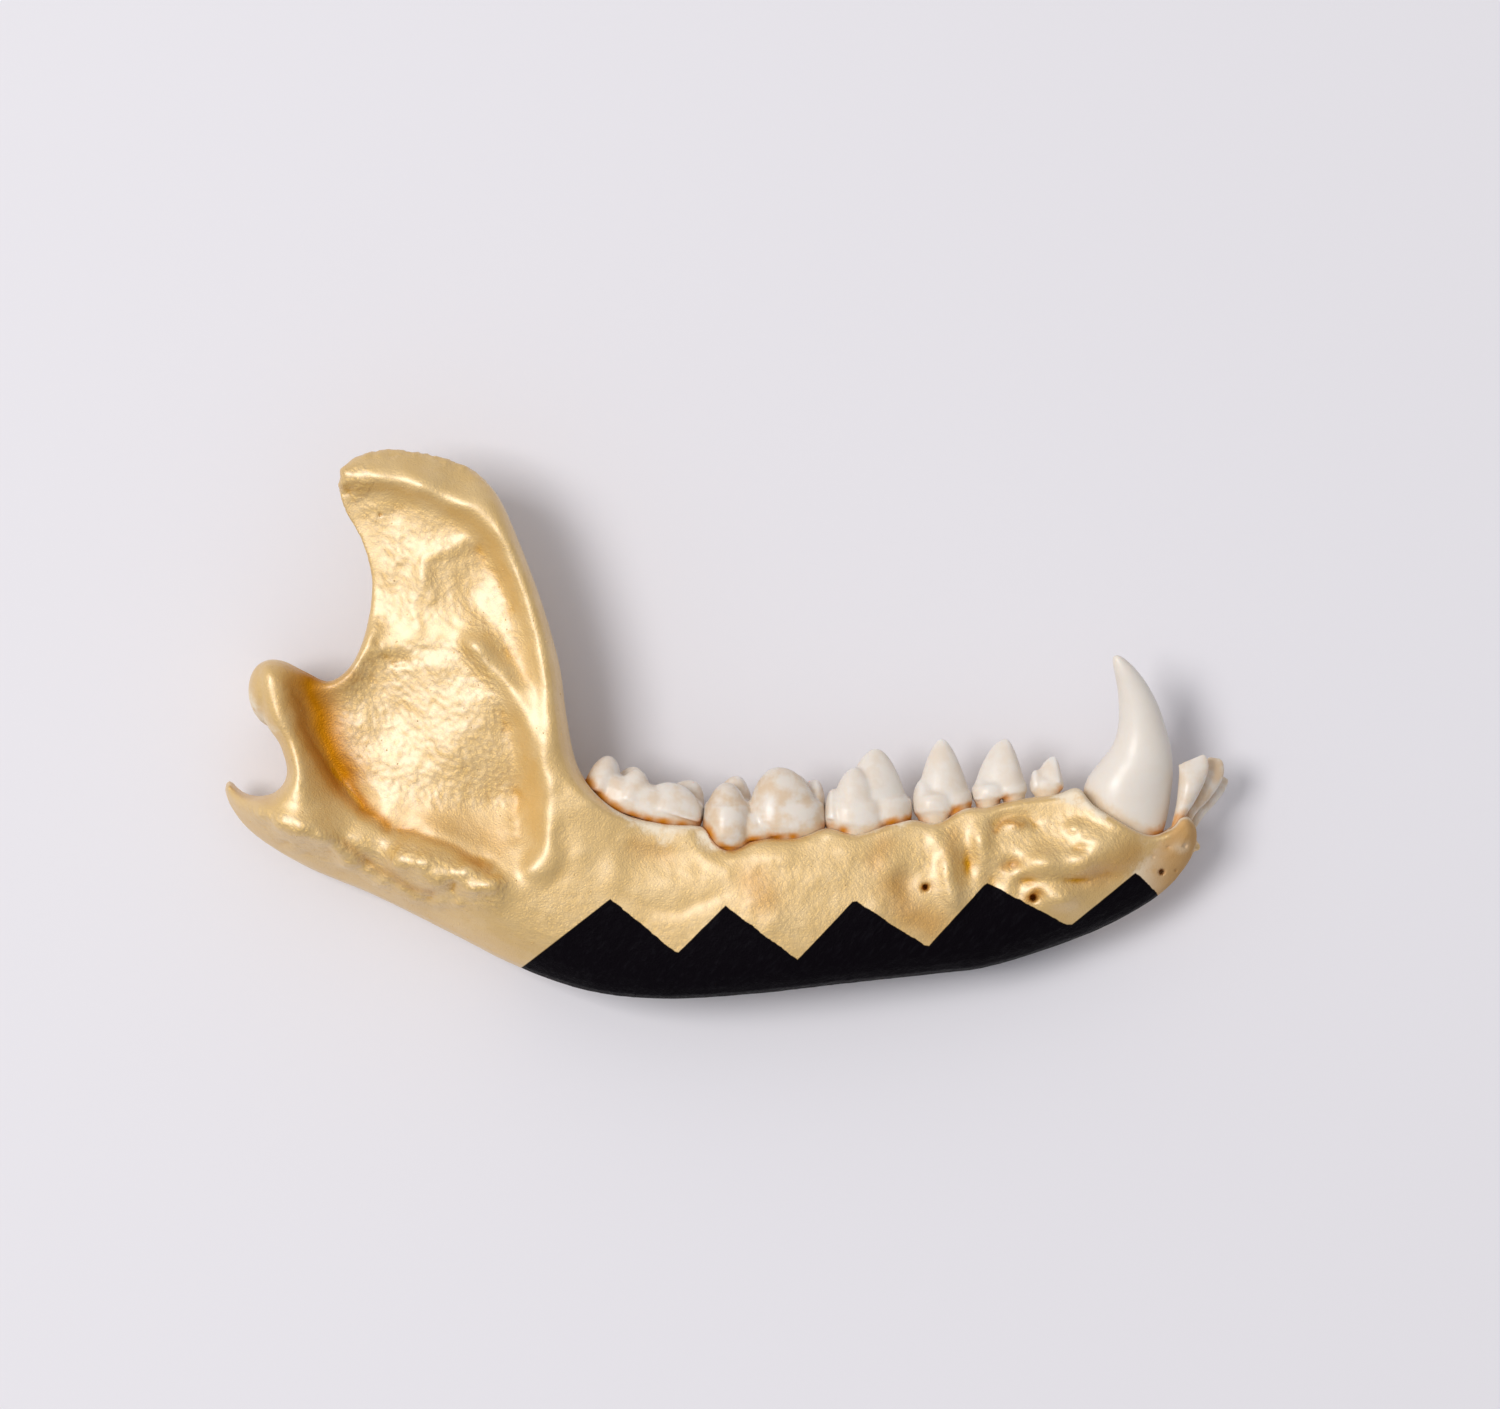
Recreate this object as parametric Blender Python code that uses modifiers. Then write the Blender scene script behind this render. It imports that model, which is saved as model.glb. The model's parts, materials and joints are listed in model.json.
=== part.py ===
"""Right half of a raccoon's lower jaw, lying on its inner side.

Metres, +Z up. X runs from the jaw joint at the rear to the front teeth, Y from the
lower border to the tooth row, and Z from the inner side, which lies on the table, to
the outer side. Sizes in this file are in millimetres until place() turns them into
metres.
"""
import math

import bmesh
import bpy
import numpy as np
from mathutils import Vector
from mathutils.geometry import delaunay_2d_cdt

MM = 0.001              # metres in a millimetre
GAP = 0.3               # clear space that touching pieces keep
RIM_STEP = 0.7          # spacing of the points round the bone's edge
GRID_STEP = 0.6         # spacing of the points on the bone's two faces
VOXEL = 0.34            # cell of the remesh that fuses the body and the condyle
BONE_FACES = 9100       # triangles left on the bone before the sockets are cut
RIM_FULLNESS = 2.7      # 2 rounds the rim like a circle, and more like a blunter border
FOOT_CUT = 0.18         # depth sliced off the lowest places, which become the flats it rests on
TOOTH_SIDES = 20        # points round a tooth

# The bone's edge, border by border and anticlockwise seen from the outer side.
# Each point is x, y, the height of the edge and the radius that rounds it.
ALVEOLAR = [
    (37.9, -7.9, 5.4, 1.5), (35.2, -7.5, 5.9, 1.3), (31.4, -6.4, 6.4, 1.2),
    (28.9, -5.3, 6.6, 1.1), (24.0, -6.0, 7.0, 1.1), (18.9, -7.0, 7.4, 1.1),
    (14.0, -7.9, 7.7, 1.1), (8.8, -8.3, 8.0, 1.1), (2.4, -8.6, 8.2, 1.1),
    (-2.6, -8.0, 8.2, 1.2), (-7.0, -7.0, 8.2, 1.4), (-10.4, -5.7, 8.3, 1.7),
]
CORONOID_FRONT = [
    (-12.4, -3.2, 8.6, 2.1), (-13.2, 0.6, 9.1, 2.0), (-13.8, 5.0, 9.6, 1.9),
    (-15.2, 10.0, 10.3, 1.8), (-17.2, 15.4, 11.0, 1.7), (-19.0, 19.2, 11.2, 1.5),
]
CORONOID_TOP = [
    (-21.3, 21.3, 11.2, 1.2), (-25.0, 22.6, 11.2, 1.1), (-28.6, 22.8, 11.2, 1.0),
    (-31.1, 21.9, 11.2, 1.0), (-32.0, 20.0, 11.2, 1.0),
]
CORONOID_REAR = [
    (-31.5, 17.7, 11.2, 1.2), (-30.1, 15.1, 10.8, 1.2), (-29.4, 12.4, 10.4, 1.2),
    (-29.5, 9.6, 10.0, 1.2), (-30.2, 6.8, 9.7, 1.2), (-31.3, 4.7, 9.5, 1.3),
]
CONDYLE_NECK = [
    (-33.0, 3.6, 9.4, 1.8), (-34.9, 4.4, 9.4, 2.0), (-36.8, 5.3, 9.4, 2.2),
    (-38.4, 5.2, 9.2, 2.2), (-39.2, 3.2, 8.8, 2.2), (-38.3, 0.2, 8.4, 2.2),
    (-37.0, -1.9, 7.8, 2.0), (-36.6, -4.2, 6.8, 1.9),
]
ANGULAR = [
    (-37.6, -5.6, 5.6, 1.5), (-39.2, -6.0, 4.6, 1.1), (-40.6, -5.6, 4.1, 0.8),
    (-41.6, -4.7, 3.9, 0.6), (-42.0, -5.4, 3.6, 0.8), (-41.4, -7.1, 3.4, 1.2),
    (-39.5, -9.3, 3.2, 1.9),
]
VENTRAL_REAR = [
    (-35.5, -11.8, 3.2, 2.8), (-29.6, -14.3, 3.4, 3.2), (-23.8, -17.1, 4.2, 3.6),
    (-17.5, -20.2, 5.6, 3.9),
]
VENTRAL = [
    (-11.7, -22.2, 6.6, 4.1), (-5.4, -22.9, 7.3, 4.2), (2.2, -22.5, 7.4, 4.2),
    (10.4, -21.6, 6.8, 4.1), (17.2, -20.9, 6.0, 4.0), (22.0, -20.3, 5.2, 3.8),
    (27.9, -18.5, 4.6, 3.4), (32.5, -16.6, 4.6, 3.2),
]
CHIN = [
    (36.3, -14.3, 4.8, 3.0), (38.6, -12.0, 5.0, 2.8), (39.2, -9.9, 5.2, 2.6),
]
EDGE = (ALVEOLAR + CORONOID_FRONT + CORONOID_TOP + CORONOID_REAR + CONDYLE_NECK
        + ANGULAR + VENTRAL_REAR + VENTRAL + CHIN)

# Spot heights of the outer face, without its ridges and grooves: x, y, z.
CORONOID_SPOTS = [
    (-31.2, 20.6, 12.7), (-28.8, 20.4, 13.0), (-25.0, 19.8, 13.2), (-21.5, 18.2, 13.2),
    (-18.7, 15.2, 13.1), (-17.0, 12.0, 12.9), (-16.0, 9.5, 12.8), (-15.1, 6.0, 12.7),
    (-14.6, 2.5, 12.6), (-29.2, 22.1, 12.1), (-25.0, 21.7, 12.2), (-21.6, 20.2, 12.4),
    (-30.9, 18.2, 11.4), (-27.0, 17.8, 11.8), (-23.0, 16.6, 12.2),
    (-29.2, 15.0, 10.9), (-26.0, 15.0, 11.6), (-22.6, 14.4, 11.8), (-20.3, 14.6, 12.0),
    (-28.8, 12.0, 10.6), (-25.5, 12.0, 11.4), (-22.0, 12.0, 11.3), (-18.8, 12.0, 11.9),
    (-29.0, 9.0, 10.5), (-26.0, 9.0, 11.1), (-22.0, 9.0, 11.5), (-18.0, 9.0, 12.0),
    (-29.9, 6.9, 11.0), (-27.0, 6.3, 10.9), (-23.0, 6.3, 11.4), (-20.3, 6.4, 11.9),
    (-17.4, 6.0, 11.9),
]
FOSSA_SPOTS = [
    (-31.3, 4.0, 11.0), (-33.2, 2.6, 10.0), (-35.0, 3.6, 11.4), (-31.6, 1.8, 9.6),
    (-29.8, 3.8, 10.2), (-27.0, 3.0, 10.4), (-24.0, 3.0, 11.0), (-21.0, 3.0, 11.6),
    (-18.8, 3.0, 11.8), (-16.0, 2.0, 12.1), (-33.2, -0.6, 9.1), (-31.0, 0.0, 9.2),
    (-28.0, 0.0, 9.9), (-24.0, 0.0, 10.8), (-20.0, 0.0, 11.4), (-17.9, -0.4, 11.3),
    (-15.2, -1.0, 12.2), (-32.2, -3.4, 9.1), (-30.0, -3.0, 9.3), (-26.0, -3.0, 10.2),
    (-22.0, -3.0, 10.8), (-18.0, -3.0, 10.9), (-30.6, -6.2, 9.8), (-27.0, -6.0, 9.8),
    (-22.0, -6.0, 10.3), (-17.2, -6.0, 10.5), (-26.8, -8.9, 10.6), (-22.0, -8.8, 10.5),
    (-18.0, -8.8, 10.7), (-20.4, -11.6, 11.2), (-17.0, -11.0, 11.2),
]
OUTER_SPOTS = CORONOID_SPOTS + FOSSA_SPOTS + [
    (-14.2, -4.0, 12.6), (-13.8, -7.5, 12.3), (-13.6, -11.0, 11.8),     # front of the ramus
    (-36.7, 0.2, 12.1), (-35.7, -3.0, 11.9), (-35.2, -6.0, 11.6), (-37.8, 3.6, 12.3),
    (-33.6, -8.4, 10.9), (-30.2, -9.3, 11.0), (-27.0, -10.7, 11.3), (-24.2, -11.6, 11.8),
    (-20.6, -12.9, 11.9), (-17.0, -13.6, 11.6),                         # masseter's border
    (-40.6, -6.6, 5.4), (-38.4, -7.9, 8.0), (-36.0, -9.0, 8.6),         # angular process
    (-24.0, -14.8, 8.8), (-32.0, -12.2, 7.2),                           # flank under the scar
    (-6.7, -8.4, 11.5), (3.2, -9.8, 11.3), (12.0, -9.8, 10.8),          # under the molars
    (18.0, -8.8, 10.0), (27.0, -7.2, 9.4),                              # under the premolars
    (-8.0, -13.0, 11.5), (3.0, -14.5, 11.6), (3.0, -19.0, 11.0),        # body
    (14.0, -13.5, 10.9), (14.0, -18.6, 10.1), (25.0, -12.0, 10.0),
    (25.0, -16.6, 8.9), (32.5, -11.0, 9.3), (37.6, -9.4, 8.7), (36.8, -12.4, 7.2),
]
# Spot heights of the inner face, without the symphysis.
INNER_SPOTS = [
    (38.0, -10.0, 3.1), (33.0, -8.6, 3.0), (27.0, -7.6, 2.6), (20.0, -8.6, 2.8),
    (15.0, -13.0, 2.4), (15.0, -18.0, 2.6), (9.0, -13.0, 3.8), (9.0, -18.0, 4.2),
    (12.0, -9.6, 4.2), (3.0, -9.8, 4.6), (-7.0, -8.6, 5.0),
    (0.0, -14.0, 4.6), (0.0, -19.6, 5.2), (-11.0, -12.0, 4.9), (-10.0, -19.0, 4.2),
    (-15.0, 0.0, 6.8), (-19.0, -10.0, 4.0), (-19.5, -16.2, 1.6),
    (-25.5, -14.0, -0.6), (-31.5, -11.6, -0.5), (-27.0, -5.0, 5.2),
    (-36.0, -8.4, 0.7), (-40.2, -7.0, 1.8), (-34.0, 0.0, 6.4), (-38.0, 3.0, 6.2),
    (-26.0, 5.0, 7.4), (-18.0, 10.0, 8.6), (-27.0, 13.0, 9.1),
    (-20.0, 18.0, 10.4), (-30.0, 20.5, 11.0), (-25.0, 21.0, 11.2),
]
SYMPHYSIS = {"centre": (29.6, -12.6), "reach": (9.4, 4.6), "tilt": -8.0,
             "hinge_x": 22.2, "slope": 0.19}

# Ridges and grooves of the outer face: path, rise (below zero a groove) and the half
# widths to the left and to the right of the path as it is walked.
OUTER_LINES = {
    "coronoid_crest": ([(-31.3, 20.2), (-29.5, 20.7), (-27.4, 20.5), (-25.2, 19.8),
                        (-23.3, 18.9), (-21.2, 18.0), (-19.7, 16.6), (-18.5, 15.0),
                        (-17.5, 13.4), (-16.8, 12.0), (-16.0, 9.8), (-15.3, 7.4),
                        (-14.9, 5.0), (-14.7, 2.4)], 0.65, 1.3, 0.7),
    "under_crest": ([(-31.0, 19.2), (-27.4, 19.2), (-24.0, 18.1), (-21.9, 17.0),
                     (-20.3, 15.5), (-19.1, 13.6), (-18.2, 11.6), (-17.6, 9.6)],
                    -0.45, 0.6, 1.2),
    "front_crest": ([(-20.4, 6.6), (-19.0, 5.4), (-18.0, 3.8), (-17.4, 2.2), (-16.9, 0.6),
                     (-16.2, -1.0), (-15.5, -2.7), (-14.9, -5.1), (-14.8, -7.3),
                     (-14.9, -9.5), (-15.4, -11.2), (-16.6, -12.6)], 1.0, 1.6, 0.75),
    "front_hollow": ([(-21.2, 10.6), (-19.6, 8.4), (-18.6, 6.0), (-17.4, 3.8)],
                     -0.3, 1.0, 0.8),
    "notch_lip": ([(-33.2, 3.0), (-32.2, 3.8), (-31.0, 5.2), (-30.2, 6.4), (-29.4, 7.2)],
                  0.55, 0.8, 0.7),
    "neck_crest": ([(-38.6, 5.2), (-37.9, 4.0), (-37.2, 2.6), (-36.8, 1.0), (-36.1, -0.8),
                    (-35.6, -2.6), (-35.4, -4.6), (-35.2, -6.4), (-34.5, -8.3)],
                   0.95, 1.0, 0.9),
    "fossa_crease": ([(-35.0, 2.2), (-34.0, -0.8), (-33.0, -3.3), (-31.8, -5.3),
                      (-30.5, -6.9), (-28.8, -8.4), (-26.3, -9.2), (-23.4, -10.3),
                      (-21.2, -11.2), (-19.4, -12.0), (-18.4, -12.6)], -0.45, 0.8, 0.55),
    "fossa_arc": ([(-21.6, 15.2), (-23.8, 14.2), (-25.1, 12.7), (-24.6, 10.6)],
                  0.3, 0.5, 1.6),
    "scar_ridge": ([(-40.4, -6.8), (-38.8, -7.3), (-36.6, -8.6), (-34.6, -9.6),
                    (-32.6, -10.0), (-31.0, -11.2), (-29.4, -12.6)], 0.6, 0.8, 0.7),
    "scar_gutter": ([(-32.6, -8.6), (-31.2, -10.2), (-29.4, -11.8), (-27.4, -13.0),
                     (-25.2, -14.0), (-21.6, -14.9)], -0.45, 0.6, 0.65),
    "masseter_bulge": ([(-28.4, -9.9), (-26.4, -11.0), (-24.0, -12.0), (-21.0, -12.3),
                        (-19.0, -13.2)], 0.85, 1.0, 1.0),
    "canine_root": ([(32.6, -9.2), (29.5, -11.6), (26.6, -13.4)], 0.4, 2.4, 2.4),
}
# Low swellings and dips of the outer face: x, y, half length, half height, rise.
SWELLINGS = [
    (-36.6, -8.6, 1.2, 0.7, 0.35), (-33.6, -9.5, 1.1, 0.6, 0.4),        # muscle scar
    (-25.0, -11.2, 1.4, 0.8, 0.4), (-21.6, -12.2, 1.3, 0.8, 0.4),
    (18.4, -12.2, 1.0, 2.1, 0.6), (22.4, -11.2, 1.0, 1.5, -0.5),        # beside the premolars
    (25.9, -10.4, 1.0, 0.9, 0.55), (28.2, -11.4, 1.1, 1.2, 0.65),
    (30.6, -9.2, 1.5, 1.1, 0.55), (21.4, -9.4, 0.9, 1.3, 0.45),
    (23.5, -11.6, 0.9, 0.8, -0.6), (27.8, -13.4, 0.9, 0.9, 0.4),
    (20.2, -11.6, 0.8, 1.6, -0.4), (15.0, -13.2, 1.1, 1.4, -0.35),
]
# Nerve openings of the outer face: x, y, radius, depth.
FORAMINA = [(16.6, -13.5, 0.6, 1.5), (25.6, -14.4, 0.6, 1.5)]

# The jaw's joint surface, a barrel that lies across the bone.
CONDYLE = {"outer": (-38.0, 3.2, 12.3), "inner": (-37.9, 1.9, -0.1),
           "half_length": 1.8, "half_height": 2.6, "squareness": 0.62}

# The cheek teeth, rear to front. Each has the middle of its neck, the turn in degrees
# about Z, its length and width, how round its plan is, the waist at its middle, the
# height of its widest level, its root, the floor of its crown, and crests from point to
# point of the crown (along, across, height), with their reach and steepness.
CHEEK_TEETH = {
    "m2": {"neck": (-6.7, -7.1, 8.2), "turn": -17.0, "length": 9.8, "width": 5.4,
           "plan": 2.5, "waist": 0.05, "shoulder": 1.7, "root": 3.0, "floor": 2.2,
           "crests": [((-4.0, 0.2, 3.5), (-3.1, 1.0, 3.2), 1.9, 1.1),
                      ((-1.7, 1.5, 3.5), (-1.4, 0.9, 3.1), 2.0, 1.2),
                      ((1.5, 1.5, 3.3), (2.7, 1.2, 3.1), 1.9, 1.1),
                      ((3.0, -1.3, 4.0), (3.9, -0.2, 3.2), 1.8, 1.1),
                      ((-1.9, -1.5, 3.2), (-3.2, -1.0, 3.0), 1.9, 1.1)]},
    "m1": {"neck": (3.27, -9.3, 8.0), "turn": -1.0, "length": 9.75, "width": 5.7,
           "plan": 2.7, "waist": 0.08, "shoulder": 2.0, "root": 3.2, "floor": 2.9,
           "crests": [((-2.8, 1.4, 4.7), (-3.8, 0.5, 4.2), 2.1, 1.0),
                      ((1.1, 1.3, 5.8), (2.8, 0.8, 5.1), 2.4, 1.0),
                      ((3.3, 0.3, 4.9), (4.1, -0.7, 4.8), 1.7, 1.0),
                      ((1.4, -1.6, 5.4), (2.6, -1.3, 4.4), 2.0, 1.0),
                      ((-2.9, -1.6, 4.5), (-3.9, -0.8, 4.2), 2.0, 1.0)]},
    "p4": {"neck": (11.9, -8.9, 7.9), "turn": -2.0, "length": 6.9, "width": 4.7,
           "plan": 2.3, "waist": 0.0, "shoulder": 2.0, "root": 3.0, "floor": 2.6,
           "crests": [((0.35, 0.0, 6.8), (0.5, 0.0, 6.3), 2.8, 1.1),
                      ((-1.1, 0.7, 5.4), (-1.5, 0.4, 4.7), 1.8, 1.1),
                      ((-2.9, 0.0, 3.4), (-2.4, 0.8, 3.3), 1.4, 1.0),
                      ((2.7, 0.0, 3.2), (1.4, 0.0, 4.8), 1.5, 1.0)]},
    "p3": {"neck": (18.05, -7.8, 7.4), "turn": 4.0, "length": 4.85, "width": 3.7,
           "plan": 2.2, "waist": 0.0, "shoulder": 1.8, "root": 2.6, "floor": 2.2,
           "crests": [((0.45, 0.0, 6.5), (0.6, 0.0, 5.9), 2.2, 1.15),
                      ((-1.9, 0.0, 3.0), (-0.5, 0.0, 4.2), 1.3, 1.0),
                      ((1.9, 0.0, 3.1), (1.1, 0.0, 4.6), 1.2, 1.0)]},
    "p2": {"neck": (22.97, -6.7, 7.0), "turn": 6.0, "length": 4.45, "width": 3.1,
           "plan": 2.2, "waist": 0.0, "shoulder": 1.5, "root": 2.3, "floor": 1.8,
           "crests": [((1.05, 0.0, 5.4), (1.0, 0.0, 4.9), 2.1, 1.1),
                      ((-1.8, 0.0, 2.5), (0.1, 0.0, 3.9), 1.3, 1.0),
                      ((1.8, 0.0, 2.6), (1.4, 0.0, 3.6), 1.0, 1.0)]},
    "p1": {"neck": (26.65, -6.0, 6.8), "turn": 6.0, "length": 2.4, "width": 2.1,
           "plan": 2.1, "waist": 0.0, "shoulder": 1.2, "root": 1.9, "floor": 1.5,
           "crests": [((0.85, 0.0, 3.4), (0.7, 0.0, 3.1), 1.4, 1.1),
                      ((-0.8, 0.0, 2.1), (0.2, 0.0, 2.8), 0.9, 1.0)]},
}
# Rings of a front tooth from the tip of its root: x, y, z, half depth along X and half
# breadth along Z.
CANINE = [
    (33.2, -12.4, 6.0, 1.5, 1.3), (33.4, -9.6, 6.0, 2.9, 2.2), (33.5, -7.4, 6.0, 3.5, 2.6),
    (33.6, -5.5, 6.1, 3.65, 2.75), (34.2, -3.8, 6.4, 3.2, 2.6), (34.7, -2.1, 6.7, 2.55, 2.2),
    (34.75, -0.5, 7.1, 2.05, 1.85), (34.5, 1.2, 7.6, 1.7, 1.55), (34.0, 2.9, 8.2, 1.35, 1.2),
    (33.3, 4.4, 8.75, 0.92, 0.86), (32.8, 5.25, 9.1, 0.56, 0.54), (32.52, 5.7, 9.25, 0.2, 0.2),
]
INCISORS = {
    "i3": [(37.45, -9.8, 7.1, 0.4, 0.4), (37.85, -8.0, 7.25, 0.6, 0.65),
           (38.4, -6.2, 7.35, 0.85, 0.85), (38.8, -4.5, 7.4, 1.1, 0.95),
           (38.9, -3.3, 7.4, 0.95, 0.75)],
    "i2": [(38.0, -10.0, 5.7, 0.42, 0.4), (38.8, -7.9, 5.6, 0.6, 0.6),
           (39.7, -6.0, 5.6, 0.8, 0.7), (40.4, -4.2, 5.6, 0.9, 0.7),
           (40.6, -2.9, 5.6, 0.65, 0.55)],
    "i1": [(37.9, -10.1, 4.45, 0.38, 0.33), (39.3, -8.3, 4.3, 0.52, 0.42),
           (40.5, -6.6, 4.2, 0.75, 0.5), (41.3, -5.0, 4.2, 0.75, 0.5),
           (41.6, -3.8, 4.2, 0.5, 0.4)],
}

FINISHES = {
    "gold_paint": ((0.80, 0.55, 0.22, 1.0), 0.35, 0.8),
    "enamel": ((0.86, 0.81, 0.72, 1.0), 0.3, 0.0),
}


def finish(name):
    """A Principled BSDF material with the finish's colour, roughness and metallic value."""
    colour, roughness, metallic = FINISHES[name]
    material = bpy.data.materials.new(name)
    material.use_nodes = True
    shader = material.node_tree.nodes["Principled BSDF"]
    shader.inputs["Base Color"].default_value = colour
    shader.inputs["Roughness"].default_value = roughness
    shader.inputs["Metallic"].default_value = metallic
    return material


def closed_curve(points, step):
    """Points about a step apart on the closed Catmull-Rom curve through the given ones."""
    points = np.array(points, float)
    before = np.roll(points, 1, axis=0)
    after = np.roll(points, -1, axis=0)
    beyond = np.roll(points, -2, axis=0)
    curve = []
    for a, b, c, d in zip(before, points, after, beyond):
        count = max(1, round(float(np.linalg.norm(c[:2] - b[:2])) / step))
        for t in np.arange(count) / count:
            curve.append(between(a, b, c, d, t))
    return np.array(curve)


def between(a, b, c, d, t):
    """The point at share t from b to c on the Catmull-Rom curve through four points."""
    return 0.5 * (2 * b + (c - a) * t + (2 * a - 5 * b + 4 * c - d) * t * t
                  + (3 * b - a - 3 * c + d) * t ** 3)


def path_distance(places, path, closed=False):
    """How far each place lies from a path of straight lines."""
    path = np.array(path, float)
    ends = np.roll(path, -1, axis=0) if closed else path[1:]
    starts = path if closed else path[:-1]
    nearest = np.full(len(places), np.inf)
    for a, b in zip(starts, ends):
        along = b - a
        t = np.clip((places - a) @ along / (along @ along), 0, 1)
        nearest = np.minimum(nearest, np.linalg.norm(places - a - t[:, None] * along, axis=1))
    return nearest


def inside(places, outline):
    """Whether each place lies within a closed outline."""
    outline = np.array(outline, float)
    x, y = places[:, 0], places[:, 1]
    within = np.zeros(len(places), bool)
    for a, b in zip(outline, np.roll(outline, -1, axis=0)):
        crosses = (a[1] > y) != (b[1] > y)
        rise = b[1] - a[1] if b[1] != a[1] else 1.0
        within ^= crosses & (x < (b[0] - a[0]) * (y - a[1]) / rise + a[0])
    return within


def smooth_step(t):
    """0 below 0, 1 above 1, and an even S between."""
    t = np.clip(t, 0, 1)
    return t * t * (3 - 2 * t)


def sheet_through(spots):
    """The smoothest sheet through spot heights, a thin plate, as a function of places."""
    spots = np.array(spots, float)

    def kernel(a, b):
        r2 = ((a[:, None, :] - b[None, :, :]) ** 2).sum(axis=2)
        return r2 * np.log(r2 + 1e-9)

    count = len(spots)
    flat = np.column_stack([np.ones(count), spots[:, :2]])
    system = np.zeros((count + 3, count + 3))
    system[:count, :count] = kernel(spots[:, :2], spots[:, :2])
    system[:count, count:] = flat
    system[count:, :count] = flat.T
    weights = np.linalg.solve(system, np.append(spots[:, 2], [0, 0, 0]))

    def height(places):
        return (kernel(places, spots[:, :2]) @ weights[:count]
                + weights[count] + places @ weights[count + 1:])

    return height


def open_curve(points, count):
    """Evenly shared points on the open Catmull-Rom curve through the given ones."""
    points = np.array(points, float)
    padded = np.vstack([2 * points[0] - points[1], points, 2 * points[-1] - points[-2]])
    curve = []
    for share in np.linspace(0, len(points) - 1, count):
        i = min(int(share), len(points) - 2)
        curve.append(between(*padded[i:i + 4], share - i))
    return np.array(curve)


def side_of_path(places, path):
    """Distance from an open path, above zero on its left and below zero on its right."""
    nearest = np.full(len(places), np.inf)
    side = np.zeros(len(places))
    for a, b in zip(path[:-1], path[1:]):
        along = b - a
        t = np.clip((places - a) @ along / (along @ along), 0, 1)
        away = places - a - t[:, None] * along
        distance = np.linalg.norm(away, axis=1)
        closer = distance < nearest
        nearest[closer] = distance[closer]
        side[closer] = (along[0] * away[:, 1] - along[1] * away[:, 0])[closer]
    return np.where(side >= 0, nearest, -nearest)


def outer_face(places):
    """Height of the outer face: the sheet, its lines, its swellings and its openings."""
    height = sheet_through(OUTER_SPOTS)(places)
    for path, rise, left, right in OUTER_LINES.values():
        offset = side_of_path(places, open_curve(path, 4 * len(path)))
        width = np.where(offset > 0, left, right)
        height += rise * np.exp(-(offset / width) ** 2)
    for x, y, half_length, half_height, rise in SWELLINGS:
        away = np.hypot((places[:, 0] - x) / half_length, (places[:, 1] - y) / half_height)
        height += rise * np.exp(-away ** 2)
    for x, y, radius, depth in FORAMINA:
        distance = np.hypot(places[:, 0] - x, places[:, 1] - y)
        height -= depth * smooth_step(1.4 - distance / radius)
    return height


def inner_face(places):
    """Height of the inner face, with the flat symphysis towards the front."""
    height = sheet_through(INNER_SPOTS)(places)
    turn = math.radians(SYMPHYSIS["tilt"])
    offset = places - np.array(SYMPHYSIS["centre"])
    along = offset[:, 0] * math.cos(turn) + offset[:, 1] * math.sin(turn)
    across = offset[:, 1] * math.cos(turn) - offset[:, 0] * math.sin(turn)
    reach_along, reach_across = SYMPHYSIS["reach"]
    share = smooth_step(3.2 * (1.15 - np.hypot(along / reach_along, across / reach_across)))
    plane = (places[:, 0] - SYMPHYSIS["hinge_x"]) * SYMPHYSIS["slope"]
    return height * (1 - share) + plane * share


def edge_values(places, rim):
    """Distance from the rim, and the rim's height and radius there, for each place."""
    distance = path_distance(places, rim[:, :2], closed=True)
    spread = ((places[:, None, :] - rim[None, :, :2]) ** 2).sum(axis=2)
    weight = 1 / (spread ** 2 + 1e-4)
    weight /= weight.sum(axis=1, keepdims=True)
    return distance, weight @ rim[:, 2], weight @ rim[:, 3]


def bone_sheets():
    """The bone as two faces that meet at its rim, in millimetres."""
    rim = closed_curve(EDGE, RIM_STEP)
    forward = np.roll(rim, -1, axis=0)[:, :2] - np.roll(rim, 1, axis=0)[:, :2]
    inward = np.column_stack([-forward[:, 1], forward[:, 0]])
    inward /= np.linalg.norm(inward, axis=1, keepdims=True)
    rows = []
    for share in (0.12, 0.4, 0.8):
        offset = share * rim[:, 3]
        row = rim[:, :2] + inward * offset[:, None]
        clear = path_distance(row, rim[:, :2], closed=True) > 0.9 * offset
        rows.append(row[clear])
    low, high = rim[:, :2].min(axis=0), rim[:, :2].max(axis=0)
    columns = np.arange(low[0], high[0], GRID_STEP)
    lines = np.arange(low[1], high[1], GRID_STEP * math.sqrt(0.75))
    grid = np.array([(x + GRID_STEP / 2 * (row % 2), y)
                     for row, y in enumerate(lines) for x in columns])
    distance, _, radius = edge_values(grid, rim)
    grid = grid[inside(grid, rim[:, :2]) & (distance > 0.8 * radius + 0.5 * GRID_STEP)]
    flat = np.vstack([rim[:, :2]] + rows + [grid])
    count = len(rim)
    result = delaunay_2d_cdt([Vector(p) for p in flat], [], [list(range(count))], 1, 1e-5)
    places = np.array([tuple(p) for p in result[0]])
    faces = [tuple(face) for face in result[2]]
    source = result[3]
    on_rim = np.array([any(index < count for index in group) for group in source])
    distance, rim_height, radius = edge_values(places, rim)
    inset = 1 - np.clip(distance / radius, 0, 1)
    rounding = (1 - inset ** RIM_FULLNESS) ** (1 / RIM_FULLNESS)
    outer = rim_height + (outer_face(places) - rim_height) * rounding
    inner = rim_height + (inner_face(places) - rim_height) * rounding
    return places, faces, on_rim, rim_height, outer, inner


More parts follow.
